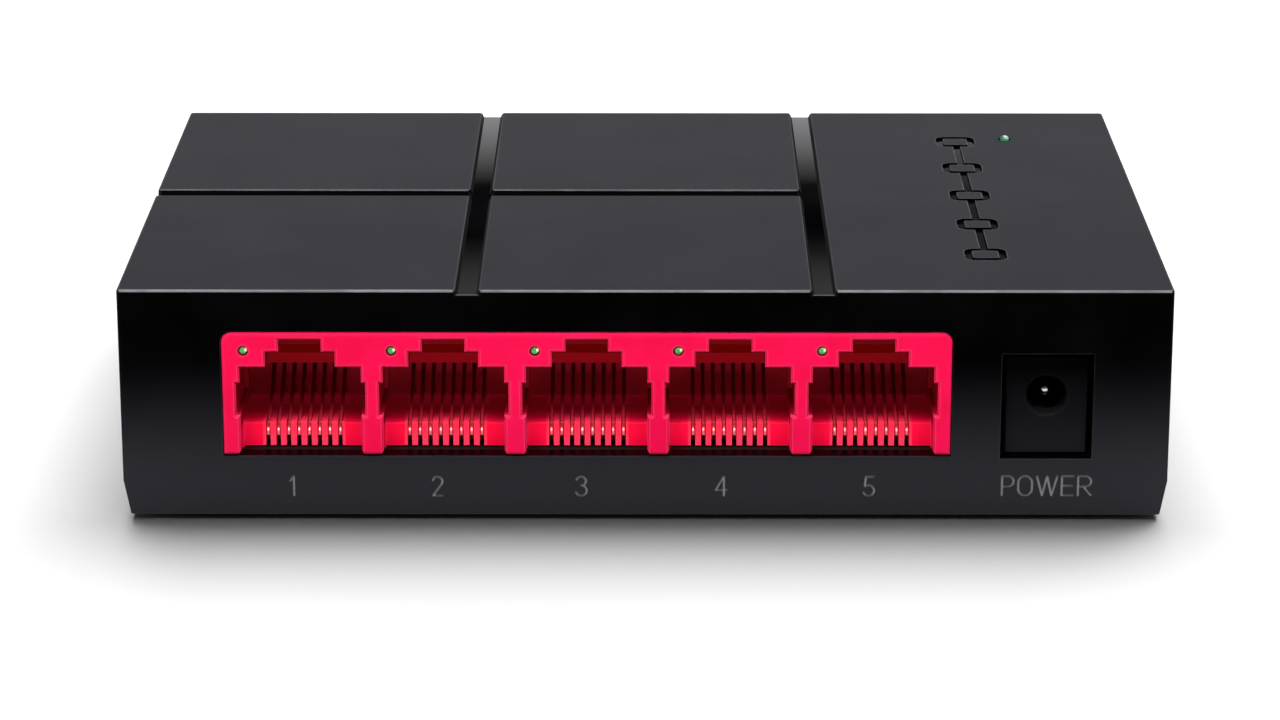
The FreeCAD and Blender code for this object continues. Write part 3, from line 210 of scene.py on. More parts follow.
def shade(colour, factor):
    """The colour made lighter or darker."""
    return tuple(c * factor for c in colour)


def moulded(name, colour, rough, worn, patch, grain, depth, vary=0.12, **values):
    """Moulded plastic, rubber, epoxy or ceramic: patchy colour, grain and lighter worn edges."""
    g = Graph(name)
    tone = g.noise(patch, 3.0)
    speck = g.noise(grain, 2.0, 0.6)
    colours = g.mix(g.patches(tone), shade(colour, 1 - vary), shade(colour, 1 + vary))
    roughness = g.ramp(speck, 0.25, 0.75, rough - 0.05, rough + 0.05)
    rub = g.times(g.edge(0.15), g.ramp(g.noise(1.3, 3.0), 0.35, 0.65, 0.35, 1.0))
    colours = g.mix(rub, colours, worn)
    roughness = g.blend(rub, roughness, rough - 0.1)
    return g.finish(
        Base_Color=colours, Roughness=roughness, Normal=g.bump(speck, depth), **values
    )


def middle_and_half(node):
    """A node's middle and its half size, both as (x, y) in millimetres."""
    low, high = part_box(node)
    middle = ((low.x + high.x) / 2 / MM, (low.y + high.y) / 2 / MM)
    half = ((high.x - low.x) / 2 / MM, (high.y - low.y) / 2 / MM)
    return middle, half


# ---------------------------------------------------------------- the casing's finish
SIDE_X = 51.3  # side walls' faces
PANEL_Y = -34.85  # face of the front panel
PANEL_T = 2.0
EDGE_HIGHLIGHT_GREY = (0.200, 0.197, 0.208)  # painted highlights and wear on edges
LETTER_Y = PANEL_Y + 0.12  # floor of the sunk lettering
ROOF_Z = 23.6
CHANNEL_Z = ROOF_Z - 0.5  # floor of the channels and of the cross groove
SIGN_Z = ROOF_Z - 0.25  # floor of the engraved sign
SEAT_R = 0.80  # countersink round the power light
GLOW_R = 1.45  # its painted glow reaches this far over the roof


def panel_painted_gradient(g):
    """Painted reflection: deep black under the roof's edge, grading to dark grey towards the foot
    of the front.
    """
    up = g.ramp(g.z, 2.0, 17.0)
    return g.mix(up, (0.0300, 0.0286, 0.0352), (0.0001, 0.0001, 0.0003))


def edge_wear_and_highlights(g):
    """Thin wear and painted highlight on every edge, and painted highlight on the round tile edges,
    strongest at front and back.
    """
    # Wear and painted highlight on every edge, stronger near the roof
    worn = g.times(g.edge(0.16, 9.0), g.patches(g.noise(2.0, 4.0), 0.55, 1.0))
    worn = g.times(worn, g.ramp(g.z, ROOF_Z - 0.7, ROOF_Z - 0.3, 0.12, 0.5))
    outer = g.ramp(g.absolute(g.y), 30.0, 34.0)  # near the front and back ends of the roof
    # Painted highlight on the round tile edges
    leaning = g.times(outer, g.between(g.nz, 0.10, 0.96, 0.03))
    rounded_highlight = g.either(g.between(g.nz, 0.58, 0.965, 0.03), leaning)
    rounded_highlight = g.times(rounded_highlight, g.ramp(g.z, ROOF_Z - 0.26, ROOF_Z - 0.20))
    rounded_highlight = g.times(rounded_highlight, g.fall(g.absolute(g.nx), 0.15, 0.35))
    rounded_highlight = g.times(rounded_highlight, g.blend(outer, 0.55, 1.0))
    rounded_highlight = g.times(rounded_highlight, g.patches(g.noise(3.0, 3.0), 0.7, 1.0))
    return g.either(worn, rounded_highlight)


def shaded_groove_walls(g):
    """The walls of channels and cross groove, but not the roof's outer edges; painted shade goes on
    them.
    """
    inland_x = g.fall(g.absolute(g.x), SIDE_X - 0.4, SIDE_X - 0.2)
    inland_y = g.fall(g.absolute(g.y), 34.5, 34.7)
    depth = g.between(g.z, CHANNEL_Z - 0.02, ROOF_Z + 0.1)
    steep = g.fall(g.nz, 0.48, 0.60)
    sideways = g.times(g.ramp(g.absolute(g.nx), 0.30, 0.45), g.fall(g.nz, 0.74, 0.84))
    return g.times(g.times(depth, g.times(inland_x, inland_y)), g.either(steep, sideways))


def power_light_painted_glow(g, colour):
    """Painted glow of green light on the roof round the power light, stronger on its left, and a
    painted dark green ring in its seat.
    """
    (seat_x, seat_y), _ = middle_and_half("power_light_guide")
    off_x, off_y = g.minus(g.x, seat_x), g.minus(g.y, seat_y)
    away = g.math("SQRT", g.math("ADD", g.times(off_x, off_x), g.times(off_y, off_y)))
    glow = g.times(g.fall(away, 0.65, GLOW_R), g.ramp(off_x, 0.2, 0.9, 0.9, 0.35))
    glow = g.times(glow, g.ramp(g.z, ROOF_Z - 0.3, ROOF_Z - 0.1))
    seat = g.times(g.fall(away, SEAT_R, SEAT_R + 0.05), g.fall(g.nz, 0.9, 0.97))
    colour = g.mix(glow, colour, (0.0020, 0.0200, 0.0130))
    return g.mix(seat, colour, (0.0012, 0.0100, 0.0060))


def casing_plastic():
    """Fine-grained black tiles and sides, polished channel floors, satin front, pale lettering;
    painted light: a reflection gradient on the front, shade in window reveals, side walls and
    groove walls, a sheen towards the roof's back, edge highlights and a green glow round the power
    light.
    """
    g = Graph("casing_black")
    level = g.ramp(g.nz, 0.9, 0.97)
    facing = g.fall(g.ny, -0.97, -0.9)
    channel = g.times(g.between(g.z, CHANNEL_Z - 0.04, CHANNEL_Z + 0.04), level)
    sign = g.times(g.between(g.z, SIGN_Z - 0.05, SIGN_Z + 0.05), level)
    letters = g.times(g.between(g.y, LETTER_Y - 0.05, LETTER_Y + 0.05), facing)
    face = g.fall(g.y, PANEL_Y + 0.03, PANEL_Y + 0.15)
    reveal = g.fall(g.y, PANEL_Y + PANEL_T + 0.05, PANEL_Y + PANEL_T + 0.25)
    reveal = g.times(reveal, g.fall(g.z, ROOF_Z - 0.7, ROOF_Z - 0.6))
    front = g.either(face, reveal)
    speck = g.noise(0.14, 2.0, 0.65)
    tone = g.noise(9.0, 4.0)

    roof = g.mix(g.patches(tone), (0.0134, 0.0128, 0.0163), (0.0155, 0.0149, 0.0186))
    roof = g.mix(g.ramp(speck, 0.35, 0.8, 0.0, 0.5), roof, (0.0225, 0.0220, 0.0255))
    # Painted sheen: the roof grows lighter towards the back
    roof = g.mix(g.ramp(g.y, -35.0, 35.0, 0.0, 0.135), roof, (0.0400, 0.0390, 0.0450))
    # Painted shade: the side walls are darker than the roof
    walls = g.mix(g.patches(tone), (0.0064, 0.0061, 0.0078), (0.0082, 0.0078, 0.0098))
    plain = g.mix(g.ramp(g.nz, 0.3, 0.7), walls, roof)
    panel = g.mix(g.patches(tone, 0.0, 0.06), panel_painted_gradient(g), (0.0200, 0.0195, 0.0220))
    # Painted shade in the window reveals behind the panel's face
    reveal_shade = g.times(reveal, g.ramp(g.y, PANEL_Y + 0.05, PANEL_Y + 0.25))
    panel = g.mix(reveal_shade, panel, (0.0008, 0.0008, 0.0010))
    polished = g.mix(g.patches(tone), (0.0004, 0.0004, 0.0006), (0.0009, 0.0009, 0.0012))
    pale = g.mix(g.patches(speck), (0.230, 0.230, 0.240), (0.300, 0.300, 0.312))

    colour = g.mix(front, plain, panel)
    # Painted edge highlights, mixed with wear
    colour = g.mix(edge_wear_and_highlights(g), colour, EDGE_HIGHLIGHT_GREY)
    # Painted green glow round the power light
    colour = power_light_painted_glow(g, colour)
    # Painted shade: the groove walls take the polished floors' near-black colour
    colour = g.mix(g.either(channel, shaded_groove_walls(g)), colour, polished)
    colour = g.mix(sign, colour, polished)
    colour = g.mix(letters, colour, pale)

    rough = g.patches(speck, 0.40, 0.52)
    rough = g.blend(front, rough, g.patches(tone, 0.26, 0.32))
    rough = g.blend(channel, rough, g.patches(tone, 0.035, 0.06))
    rough = g.blend(sign, rough, 0.16)
    rough = g.blend(letters, rough, 0.5)
    matte = g.minus(1.0, g.either(front, g.either(channel, sign)))
    return g.finish(
        Base_Color=colour,
        Roughness=rough,
        Normal=g.bump(g.times(speck, g.ramp(matte, 0.0, 1.0, 0.02, 1.0)), 0.006),
        Specular_IOR_Level=0.008,
        Coat_Weight=g.either(channel, g.times(sign, 0.4)),
        Coat_Roughness=0.015,
        Coat_IOR=1.5,
    )


# ---------------------------------------------------------------- the sockets' finish
SOCKET_Y = PANEL_Y - 0.3  # face of the port housing
LIP_BACK_Y = SOCKET_Y + 3.4  # back of the comb's lip
STOP_Y = SOCKET_Y + 11.65  # where a plug stops
SOCKET_FLOOR_Z = 9.07  # lip and ribs are below it
BAR_Z = (12.65, 13.7)  # plain bar at the plug's stop; the latch's deep pocket is above it
RIBS_HALF = 4.0  # the comb's ribs reach this far from the socket's middle
LATCH_Z = (16.6, 17.4)  # the latch's notch begins between these heights
BOARD_SHADE_Y = -29.6  # painted shade darkens the board in front of this, below the sockets


def port_plastic():
    """Saturated red moulding with painted light: pink highlights on thin edges and ribs, shade that
    darkens the sockets inwards, and a glow inside them and on the lip.
    """
    g = Graph("port_red")
    tone = g.noise(5.0, 3.0)
    speck = g.noise(0.1, 2.0, 0.6)
    (gang_x, _), (gang_half, _) = middle_and_half("port_housing")
    within = g.fall(g.absolute(g.minus(g.x, gang_x)), gang_half - 0.10, gang_half - 0.05)
    middle = JOINTS["port_3_contacts_press"]["pos_m"][0] / MM
    aside = g.math("PINGPONG", g.minus(g.x, middle), PORT_PITCH / 2)
    inside = g.ramp(g.y, SOCKET_Y + 0.55, SOCKET_Y + 2.15)
    below = g.fall(g.z, SOCKET_FLOOR_Z + 0.08, SOCKET_FLOOR_Z + 0.38)
    lip = g.times(below, inside)
    ribs = g.times(g.fall(aside, RIBS_HALF, RIBS_HALF + 0.1), lip)
    bar = g.times(g.between(g.z, *BAR_Z), g.ramp(g.y, STOP_Y - 0.20, STOP_Y - 0.05))
    pocket = g.ramp(g.z, BAR_Z[1] - 0.10, BAR_Z[1] - 0.02)
    pocket = g.times(pocket, g.ramp(g.y, STOP_Y - 0.25, STOP_Y - 0.05))
    latch = g.ramp(g.z, *LATCH_Z)
    # Depth into the sockets, for the painted shade and glow below
    far = g.blend(
        below,
        g.ramp(g.y, SOCKET_Y + 0.25, SOCKET_Y + 2.25),
        g.ramp(g.y, LIP_BACK_Y + 0.05, LIP_BACK_Y + 5.35),
    )

    red = g.mix(g.patches(tone), (0.90, 0.0040, 0.068), (0.98, 0.0060, 0.085))
    # Painted light: the lip is a brighter, more saturated red
    red = g.mix(lip, red, (1.0, 0.0026, 0.040))
    # Painted highlight: the comb's ribs turn pink, fading upwards
    red = g.mix(g.times(ribs, g.ramp(g.z, 6.7, 8.6, 1.0, 0.45)), red, (1.0, 0.070, 0.140))
    # Painted highlight on the edges, weaker inside the sockets
    rim = g.times(g.edge(0.22, 12.0), g.blend(inside, 0.65, 0.35))
    colour = g.mix(rim, red, (1.0, 0.085, 0.20))
    # Painted shade deepening into the sockets, less under the latch
    colour = g.mix(g.times(far, g.blend(latch, 0.84, 0.62)), colour, (0.24, 0.0008, 0.0016))
    # Painted shade on surfaces behind the face beyond the gang's sides
    shade_beyond_sides = g.mix(inside, colour, (0.020, 0.0008, 0.0016))
    colour = g.mix(g.times(inside, within), shade_beyond_sides, colour)

    # Painted glow deep in the sockets, strongest at the latch, pocket and bar
    lit = g.mix(latch, (0.024, 0.0003, 0.0005), (0.068, 0.0008, 0.0005))
    lit = g.mix(pocket, lit, (0.075, 0.0012, 0.0008))
    lit = g.mix(bar, lit, (0.105, 0.0002, 0.0003))
    lit = g.mix(g.times(g.times(far, inside), within), (0.0, 0.0, 0.0), lit)
    # Painted glow on the lip, fading backwards
    glow = g.times(lip, g.ramp(g.y, LIP_BACK_Y + 0.05, LIP_BACK_Y + 1.55, 1.0, 0.15))
    return g.finish(
        Base_Color=colour,
        Roughness=g.patches(speck, 0.30, 0.40),
        Normal=g.bump(speck, 0.003),
        Specular_IOR_Level=0.03,
        Emission_Color=g.mix(g.times(glow, within), lit, (0.33, 0.0014, 0.017)),
        Emission_Strength=1.0,
    )


def board_laminate():
    """Solder mask over copper: a lighter net of traces, round pads, a bare glass edge, and painted
    shade on the strip under the sockets.
    """
    g = Graph("board_green")
    brick = g.add("ShaderNodeTexBrick", offset=0.37, squash=0.6, squash_frequency=3)
    g.link(g.scaled_point((1.0, 1.0, 0.0)), brick.inputs["Vector"])
    for key, value in (("Scale", 0.35), ("Mortar Size", 0.035), ("Mortar Smooth", 0.2)):
        brick.inputs[key].default_value = value
    traces = brick.outputs["Fac"]
    pads = g.fall(g.cells(2.3), 0.10, 0.14)
    flat = g.ramp(g.absolute(g.nz), 0.8, 0.95)
    tone = g.noise(6.0, 3.0)
    mask = g.mix(g.patches(tone), (0.004, 0.040, 0.014), (0.006, 0.055, 0.020))
    mask = g.mix(g.times(traces, 0.8), mask, (0.018, 0.120, 0.040))
    mask = g.mix(pads, mask, (0.50, 0.47, 0.36))
    colour = g.mix(flat, (0.030, 0.026, 0.014), mask)
    # Painted shade on the board's strip under the sockets
    strip = g.fall(g.y, BOARD_SHADE_Y, BOARD_SHADE_Y + 1.0)
    colour = g.mix(strip, colour, (0.0030, 0.0012, 0.0014))
    height = g.math("ADD", traces, g.times(g.noise(0.4, 2.0), 0.2))
    return g.finish(
        Base_Color=colour,
        Roughness=g.blend(strip, g.patches(tone, 0.25, 0.38), 0.7),
        Metallic=g.times(g.times(pads, flat), g.minus(1.0, strip)),
        Normal=g.bump(height, 0.02),
        Specular_IOR_Level=0.3,
        Coat_Weight=g.blend(strip, 0.3, 0.0),
    )


def jack_plastic():
    """Black socket moulding that takes the panel's painted reflection gradient, with paler rubbed
    edges.
    """
    g = Graph("jack_black")
    speck = g.noise(0.1, 2.0, 0.6)
    rub = g.times(g.edge(0.12), g.ramp(g.noise(1.0, 3.0), 0.35, 0.65, 0.2, 0.7))
    colour = g.mix(0.45, panel_painted_gradient(g), (0.0006, 0.0006, 0.0009))
    colour = g.mix(g.patches(g.noise(3.0, 3.0), 0.0, 0.06), colour, (0.02, 0.02, 0.022))
    return g.finish(
        Base_Color=g.mix(rub, colour, (0.030, 0.030, 0.034)),
        Roughness=g.patches(speck, 0.28, 0.36),
        Normal=g.bump(speck, 0.003),
        Specular_IOR_Level=0.008,
    )


def lamp_plastic(name, strength, axis, rim, highlight_side, highlight_spot, bright, body, skin, coat):
    """Clear green light-guide plastic glowing from its LED, with a painted dark ring round the
    dome's rim and a painted highlight on one side.

    rim and spot are the two cosines, to axis and to highlight_side, between which each one fades.
    skin is the share of the colour that room light shows, next to the glow.
    """
    g = Graph(name)
    swirl = g.noise(0.35, 2.0)
    colour = g.mix(g.patches(swirl), *body)
    # Painted shade: a dark ring round the dome's rim
    colour = g.mix(g.fall(g.dot(g.normal, axis), *rim), colour, (0.006, 0.020, 0.007))
    # Painted highlight on one side of the dome
    colour = g.mix(g.ramp(g.dot(g.normal, highlight_side), *highlight_spot), colour, bright)
    return g.finish(
        Base_Color=g.mix(skin, (0.0, 0.0, 0.0), colour),
        Roughness=g.patches(g.noise(0.2), 0.10, 0.18),
        Normal=g.bump(swirl, 0.004),
        Emission_Color=colour,
        Emission_Strength=strength,
        Coat_Weight=coat,
        Coat_Roughness=0.04,
    )


def plated(name, colour, rough, grain, dull):
    """Plated spring or pin metal with fine drawing lines and slightly tarnished patches."""
    g = Graph(name)
    lines = g.noise(0.06, 2.0, 0.5, grain)
    patch = g.ramp(g.noise(0.9, 3.0), 0.45, 0.75, 0.0, 0.35)
    return g.finish(
        Base_Color=g.mix(patch, colour, dull),
        Metallic=1.0,
        Roughness=g.patches(lines, rough - 0.05, rough + 0.08),
        Normal=g.bump(lines, 0.002),
    )


BEND_Z = (7.78, 8.70)  # the part of a contact's front bend that shines between the ribs, under the glint light and a painted highlight tint
BEAM_Y = (-30.9, -30.0)  # where the bend passes into the beam
BEAM_END_Y = -22.0  # the beam's tip; the solder legs behind it stay gold


def contact_gold():
    """Gold-plated wire with painted light: a pink highlight tint on the bend, a red reflection of
    the socket on its beam that darkens backwards, and shade below the bend.
    """
    g = Graph("contact_gold")
    lines = g.noise(0.06, 2.0, 0.5, (0.3, 0.3, 6.0))
    patch = g.ramp(g.noise(0.9, 3.0), 0.45, 0.75, 0.0, 0.35)
    bend = g.times(g.between(g.z, *BEND_Z, 0.06), g.fall(g.y, -30.7, -30.3))
    beam = g.either(g.ramp(g.y, *BEAM_Y), g.ramp(g.z, BEND_Z[1], BEND_Z[1] + 0.1))
    beam = g.times(beam, g.fall(g.y, BEAM_END_Y - 0.6, BEAM_END_Y))
    # Painted reflection of the red socket on the beam, darker further back
    painted_reflection = g.mix(g.ramp(g.y, -30.2, -26.0), (0.80, 0.022, 0.055), (0.15, 0.002, 0.003))
    colour = g.mix(patch, (0.95, 0.70, 0.30), (0.70, 0.46, 0.20))
    colour = g.mix(beam, colour, painted_reflection)
    # Painted shade below the bend
    colour = g.mix(g.ramp(g.z, 7.60, 7.80, 0.9, 0.0), colour, (0.050, 0.030, 0.012))
    # Painted highlight tint on the bend
    colour = g.mix(bend, colour, (0.95, 0.27, 0.27))
    return g.finish(
        Base_Color=colour,
        Metallic=g.blend(beam, 1.0, 0.08),
        Roughness=g.blend(bend, g.patches(lines, 0.18, 0.30), 0.40),
        Normal=g.bump(lines, 0.002),
        Specular_IOR_Level=0.06,
    )


def label_film():
    """Blank matte film with a pale border line, as left for a printer."""
    g = Graph("label_blank")
    (middle_x, middle_y), (half_x, half_y) = middle_and_half("rating_label")
    across = g.minus(half_x, g.absolute(g.minus(g.x, middle_x)))
    along = g.minus(half_y, g.absolute(g.minus(g.y, middle_y)))
    inset = g.math("MINIMUM", across, along)
    line = g.between(inset, 1.1, 1.4, 0.04)
    fibre = g.noise(0.25, 4.0, 0.7)
    paper = g.mix(g.patches(fibre), (0.50, 0.50, 0.49), (0.60, 0.60, 0.59))
    scuff = g.ramp(g.noise(3.0, 5.0, 0.7), 0.62, 0.72, 0.0, 0.35)
    paper = g.mix(scuff, paper, (0.36, 0.36, 0.35))
    return g.finish(
        Base_Color=g.mix(line, paper, (0.22, 0.22, 0.23)),
        Roughness=g.patches(fibre, 0.45, 0.6),
        Normal=g.bump(fibre, 0.004),
    )


# ---------------------------------------------------------------- finishes by node
gold = contact_gold()
bronze = plated("terminal_bronze", (0.72, 0.56, 0.40), 0.28, (6.0, 0.3, 0.3), (0.45, 0.33, 0.22))
nickel = plated("pin_nickel", (0.78, 0.76, 0.72), 0.16, (6.0, 0.3, 6.0), (0.55, 0.52, 0.48))
tin = plated("lead_tin", (0.70, 0.70, 0.69), 0.34, (1.0, 1.0, 1.0), (0.48, 0.48, 0.47))
can = plated("can_steel", (0.66, 0.66, 0.65), 0.30, (1.0, 8.0, 1.0), (0.50, 0.49, 0.47))
aluminium = plated("can_aluminium", (0.74, 0.75, 0.76), 0.32, (1.0, 1.0, 0.3), (0.56, 0.57, 0.58))
zinc = plated("screw_zinc", (0.30, 0.30, 0.31), 0.36, (4.0, 4.0, 0.5), (0.16, 0.15, 0.15))

casing = casing_plastic()
port_red = port_plastic()
base_black = moulded(
    "base_black", (0.020, 0.020, 0.023), 0.52, patch=8.0, grain=0.2, depth=0.012,
    worn=(0.060, 0.060, 0.064), Specular_IOR_Level=0.4,
)
rubber = moulded(
    "foot_rubber", (0.030, 0.030, 0.031), 0.78, patch=2.0, vary=0.2, grain=0.25, depth=0.02,
    worn=(0.070, 0.068, 0.066), Specular_IOR_Level=0.3,
)
insert_red = moulded(
    "insert_red", (0.42, 0.008, 0.035), 0.42, patch=2.0, grain=0.1, depth=0.004,
    worn=(0.60, 0.04, 0.09),
)
epoxy = moulded(
    "chip_epoxy", (0.022, 0.022, 0.024), 0.48, patch=1.5, vary=0.15, grain=0.08, depth=0.006,
    worn=(0.06, 0.06, 0.06),
)
potting = moulded(
    "transformer_epoxy", (0.012, 0.012, 0.014), 0.38, patch=2.5, vary=0.2, grain=0.1, depth=0.006,
    worn=(0.05, 0.05, 0.05),
)
ferrite = moulded(
    "ferrite", (0.045, 0.042, 0.040), 0.62, patch=0.8, vary=0.25, grain=0.15, depth=0.012,
    worn=(0.10, 0.095, 0.09),
)
ceramic = moulded(
    "capacitor_ceramic", (0.36, 0.22, 0.11), 0.42, patch=0.5, vary=0.15, grain=0.08, depth=0.004,
    worn=(0.62, 0.60, 0.56),
)
resistor = moulded(
    "resistor_body", (0.035, 0.035, 0.040), 0.40, patch=0.6, vary=0.2, grain=0.08, depth=0.004,
    worn=(0.55, 0.55, 0.54),
)
led_resin = moulded(
    "led_resin", (0.62, 0.62, 0.50), 0.30, patch=0.5, vary=0.12, grain=0.08, depth=0.004,
    worn=(0.75, 0.74, 0.62),
)

FINISH = {
    "top_cover": casing,
    "base_cover": base_black,
    "base_screws": zinc,
    "rating_label": label_film(),
    "circuit_board": board_laminate(),
    "port_housing": port_red,
    "port_light_guide": lamp_plastic(
        "port_lamp", strength=0.40, axis=(0.0, -1.0, 0.0), rim=(0.45, 0.80),
        highlight_side=(0.68, -0.70, 0.22), highlight_spot=(0.86, 0.97), bright=(0.92, 0.78, 0.46),
        body=((0.030, 0.230, 0.045), (0.070, 0.360, 0.090)), skin=1.0, coat=0.6,
    ),
    "power_light_guide": lamp_plastic(
        "power_lamp", strength=0.75, axis=(0.0, -0.80, 0.60), rim=(0.18, 0.70),
        highlight_side=(0.42, -0.46, 0.78), highlight_spot=(0.74, 0.97), bright=(0.52, 0.82, 0.49),
        body=((0.045, 0.210, 0.125), (0.080, 0.300, 0.190)), skin=0.05, coat=0.1,
    ),
    "power_led": led_resin,
    "dc_jack_housing": jack_plastic(),
    "dc_jack_center_pin": nickel,
    "switch_chip": epoxy,
    "config_memory_chip": epoxy,
    "regulator_chip": epoxy,
    "protection_diode": epoxy,
    "switch_chip_leads": tin,
    "lan_transformer_leads": tin,
    "config_memory_leads": tin,
    "regulator_leads": tin,
    "crystal": can,
    "power_inductor": ferrite,
    "capacitor_can_1": aluminium,
    "capacitor_can_2": aluminium,
    "ceramic_capacitors": ceramic,
    "chip_resistors": resistor,
}
FINISH |= {n: rubber for n in NODES if n.startswith("foot_")}
for port in PORTS:
    FINISH[f"port_{port}_wire_holder"] = insert_red
    FINISH[f"port_{port}_led"] = led_resin
    FINISH[f"lan_transformer_{port}"] = potting

for name, material in FINISH.items():
    mesh = NODES[name].data
    mesh.materials.clear()
    mesh.materials.append(material)


# ---------------------------------------------------------------- bent wires and strips
def arc(centre, radius, start, end, count):
    """Points (y, z) on an arc, angles in degrees from +Y towards +Z."""
    turns = [math.radians(start + (end - start) * i / count) for i in range(count + 1)]
    return [(centre[0] + radius * math.cos(t), centre[1] + radius * math.sin(t)) for t in turns]


def section(half_x, half_n, corner, steps=3):
    """A rectangle with round corners, as (x, normal) offsets round the wire's axis."""
    points = []
    for qx, qn, first in ((1, 1, 0), (-1, 1, 90), (-1, -1, 180), (1, -1, 270)):
        middle_x, middle_n = qx * (half_x - corner), qn * (half_n - corner)
        for i in range(steps + 1):
            t = math.radians(first + 90 * i / steps)
            points.append((middle_x + corner * math.cos(t), middle_n + corner * math.sin(t)))
    return points


def sweep(x, path, profile, round_end):
    """Vertices and faces of a wire that follows (y, z) points in the plane at x, in millimetres."""
    rings = []
    last = len(path) - 1
    for i, (y, z) in enumerate(path):
        (y0, z0), (y1, z1) = path[max(0, i - 1)], path[min(last, i + 1)]
        length = math.hypot(y1 - y0, z1 - z0)
        ty, tz = (y1 - y0) / length, (z1 - z0) / length
        rings.append((y, z, ty, tz, 1.0))
    for end, sign in ((0, -1), (-1, 1)):
        y, z, ty, tz, _ = rings[end]
        caps = [
            (y + sign * ty * round_end * along, z + sign * tz * round_end * along, ty, tz, size)
            for along, size in ((0.5, 0.87), (0.87, 0.5))
        ]
        rings = list(reversed(caps)) + rings if end == 0 else rings + caps
    vertices = [
        (x + a * size, y - tz * b * size, z + ty * b * size)
        for y, z, ty, tz, size in rings
        for a, b in profile
    ]
    n = len(profile)
    faces = [
        (r * n + k, r * n + (k + 1) % n, (r + 1) * n + (k + 1) % n, (r + 1) * n + k)
        for r in range(len(rings) - 1)
        for k in range(n)
    ]
    faces.append(tuple(reversed(range(n))))
    faces.append(tuple(range((len(rings) - 1) * n, len(rings) * n)))
    return vertices, faces


SHARP_FROM = math.radians(50)


def spring_piece(name, strands, material):
    """One mesh from several swept strands."""
    vertices, faces = [], []
    for strand_vertices, strand_faces in strands:
        first = len(vertices)
        vertices += [tuple(c * MM for c in v) for v in strand_vertices]
        faces += [tuple(first + i for i in face) for face in strand_faces]
    mesh = bpy.data.meshes.new(name)
    mesh.from_pydata(vertices, [], faces)
    mesh.validate()
    mesh.shade_smooth()
    piece = bpy.data.objects.new(name, mesh)
    bpy.context.scene.collection.objects.link(piece)
    mesh.materials.append(material)
    mesh.set_sharp_from_angle(angle=SHARP_FROM)
    return piece


def hinge_of(joint):
    """A joint's place in millimetres as (x, y, z)."""
    return [c / MM for c in JOINTS[joint]["pos_m"]]


WIRE = 0.34  # side of the wire's square section
WIRE_CORNER = 0.11
CONTACTS = 8
CONTACT_PITCH = 1.016
CONTACT_BEND_R = 0.62
CONTACT_RISE = 23.7  # slope of the free beam, degrees
TAIL_BEND_R = 0.45
TAIL_STRAIGHT_Z = 5.0  # the solder leg's straight part ends here
TAIL_ROWS = (-16.3, -18.84)  # odd and even solder legs, along Y
# Rings along the beam, as shares of its length, close together where it bends with its joint
BEAM_SHARES = (0.012, 0.024, 0.036, 0.048, 0.06, 0.08, 0.1, 0.13, 0.2, 0.4, 0.6, 0.8, 0.985)


def contact_path(hinge_y, hinge_z, row_y, low_z, tip_z):
    """Solder leg, run over the board, front bend and free beam of one contact."""
    rise = math.radians(CONTACT_RISE)
    centre = (
        hinge_y + CONTACT_BEND_R * math.sin(rise),
        hinge_z - CONTACT_BEND_R * math.cos(rise),
    )
    run_z = centre[1] - CONTACT_BEND_R
    path = [(row_y, low_z + WIRE / 2), (row_y, TAIL_STRAIGHT_Z)]
    path += arc((row_y - TAIL_BEND_R, run_z - TAIL_BEND_R), TAIL_BEND_R, 0, 90, 5)
    path += [((row_y + centre[0]) / 2, run_z)]
    path += arc(centre, CONTACT_BEND_R, -90, -270 + CONTACT_RISE, 16)
    length = (tip_z - WIRE / 2 - hinge_z) / math.sin(rise)
    along_y, along_z = math.cos(rise) * length, math.sin(rise) * length
    path += [(hinge_y + along_y * share, hinge_z + along_z * share) for share in BEAM_SHARES]
    return path


for port in PORTS:
    joint = f"port_{port}_contacts_press"
    port_x, hinge_y, hinge_z = hinge_of(joint)
    low_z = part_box(f"port_{port}_contact_tails")[0].z / MM
    tip_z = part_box(f"port_{port}_spring_wires")[1].z / MM
    profile = section(WIRE / 2, WIRE / 2, WIRE_CORNER)
    strands = []
    for n in range(CONTACTS):
        x = port_x + CONTACT_PITCH * (n - (CONTACTS - 1) / 2)
        path = contact_path(hinge_y, hinge_z, TAIL_ROWS[n % 2], low_z, tip_z)
        strands.append(sweep(x, path, profile, WIRE / 2))
    piece = spring_piece(f"port_{port}_contacts", strands, gold)
    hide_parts(f"port_{port}_contact_tails", f"port_{port}_spring_wires")
    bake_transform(piece)


LEAF_T = 0.3  # thickness of the strip
LEAF_EDGE = 0.08
LEAF_BEND_R = 0.475
LEAF_CORNER = 0.35  # the two small bends, at the solder leg and at the bump
LEAF_RUN_Z = 7.65
LEAF_TAIL_Y = -25.0
LEAF_BUMP = (-28.6, 10.65)  # (y, z) of the bend that touches a plug
LEAF_TIP = (-30.8, 9.9)
LEAF_SHARES = (0.05, 0.1, 0.2, 0.4, 0.7, 0.9)  # rings along the rise from hinge to bump


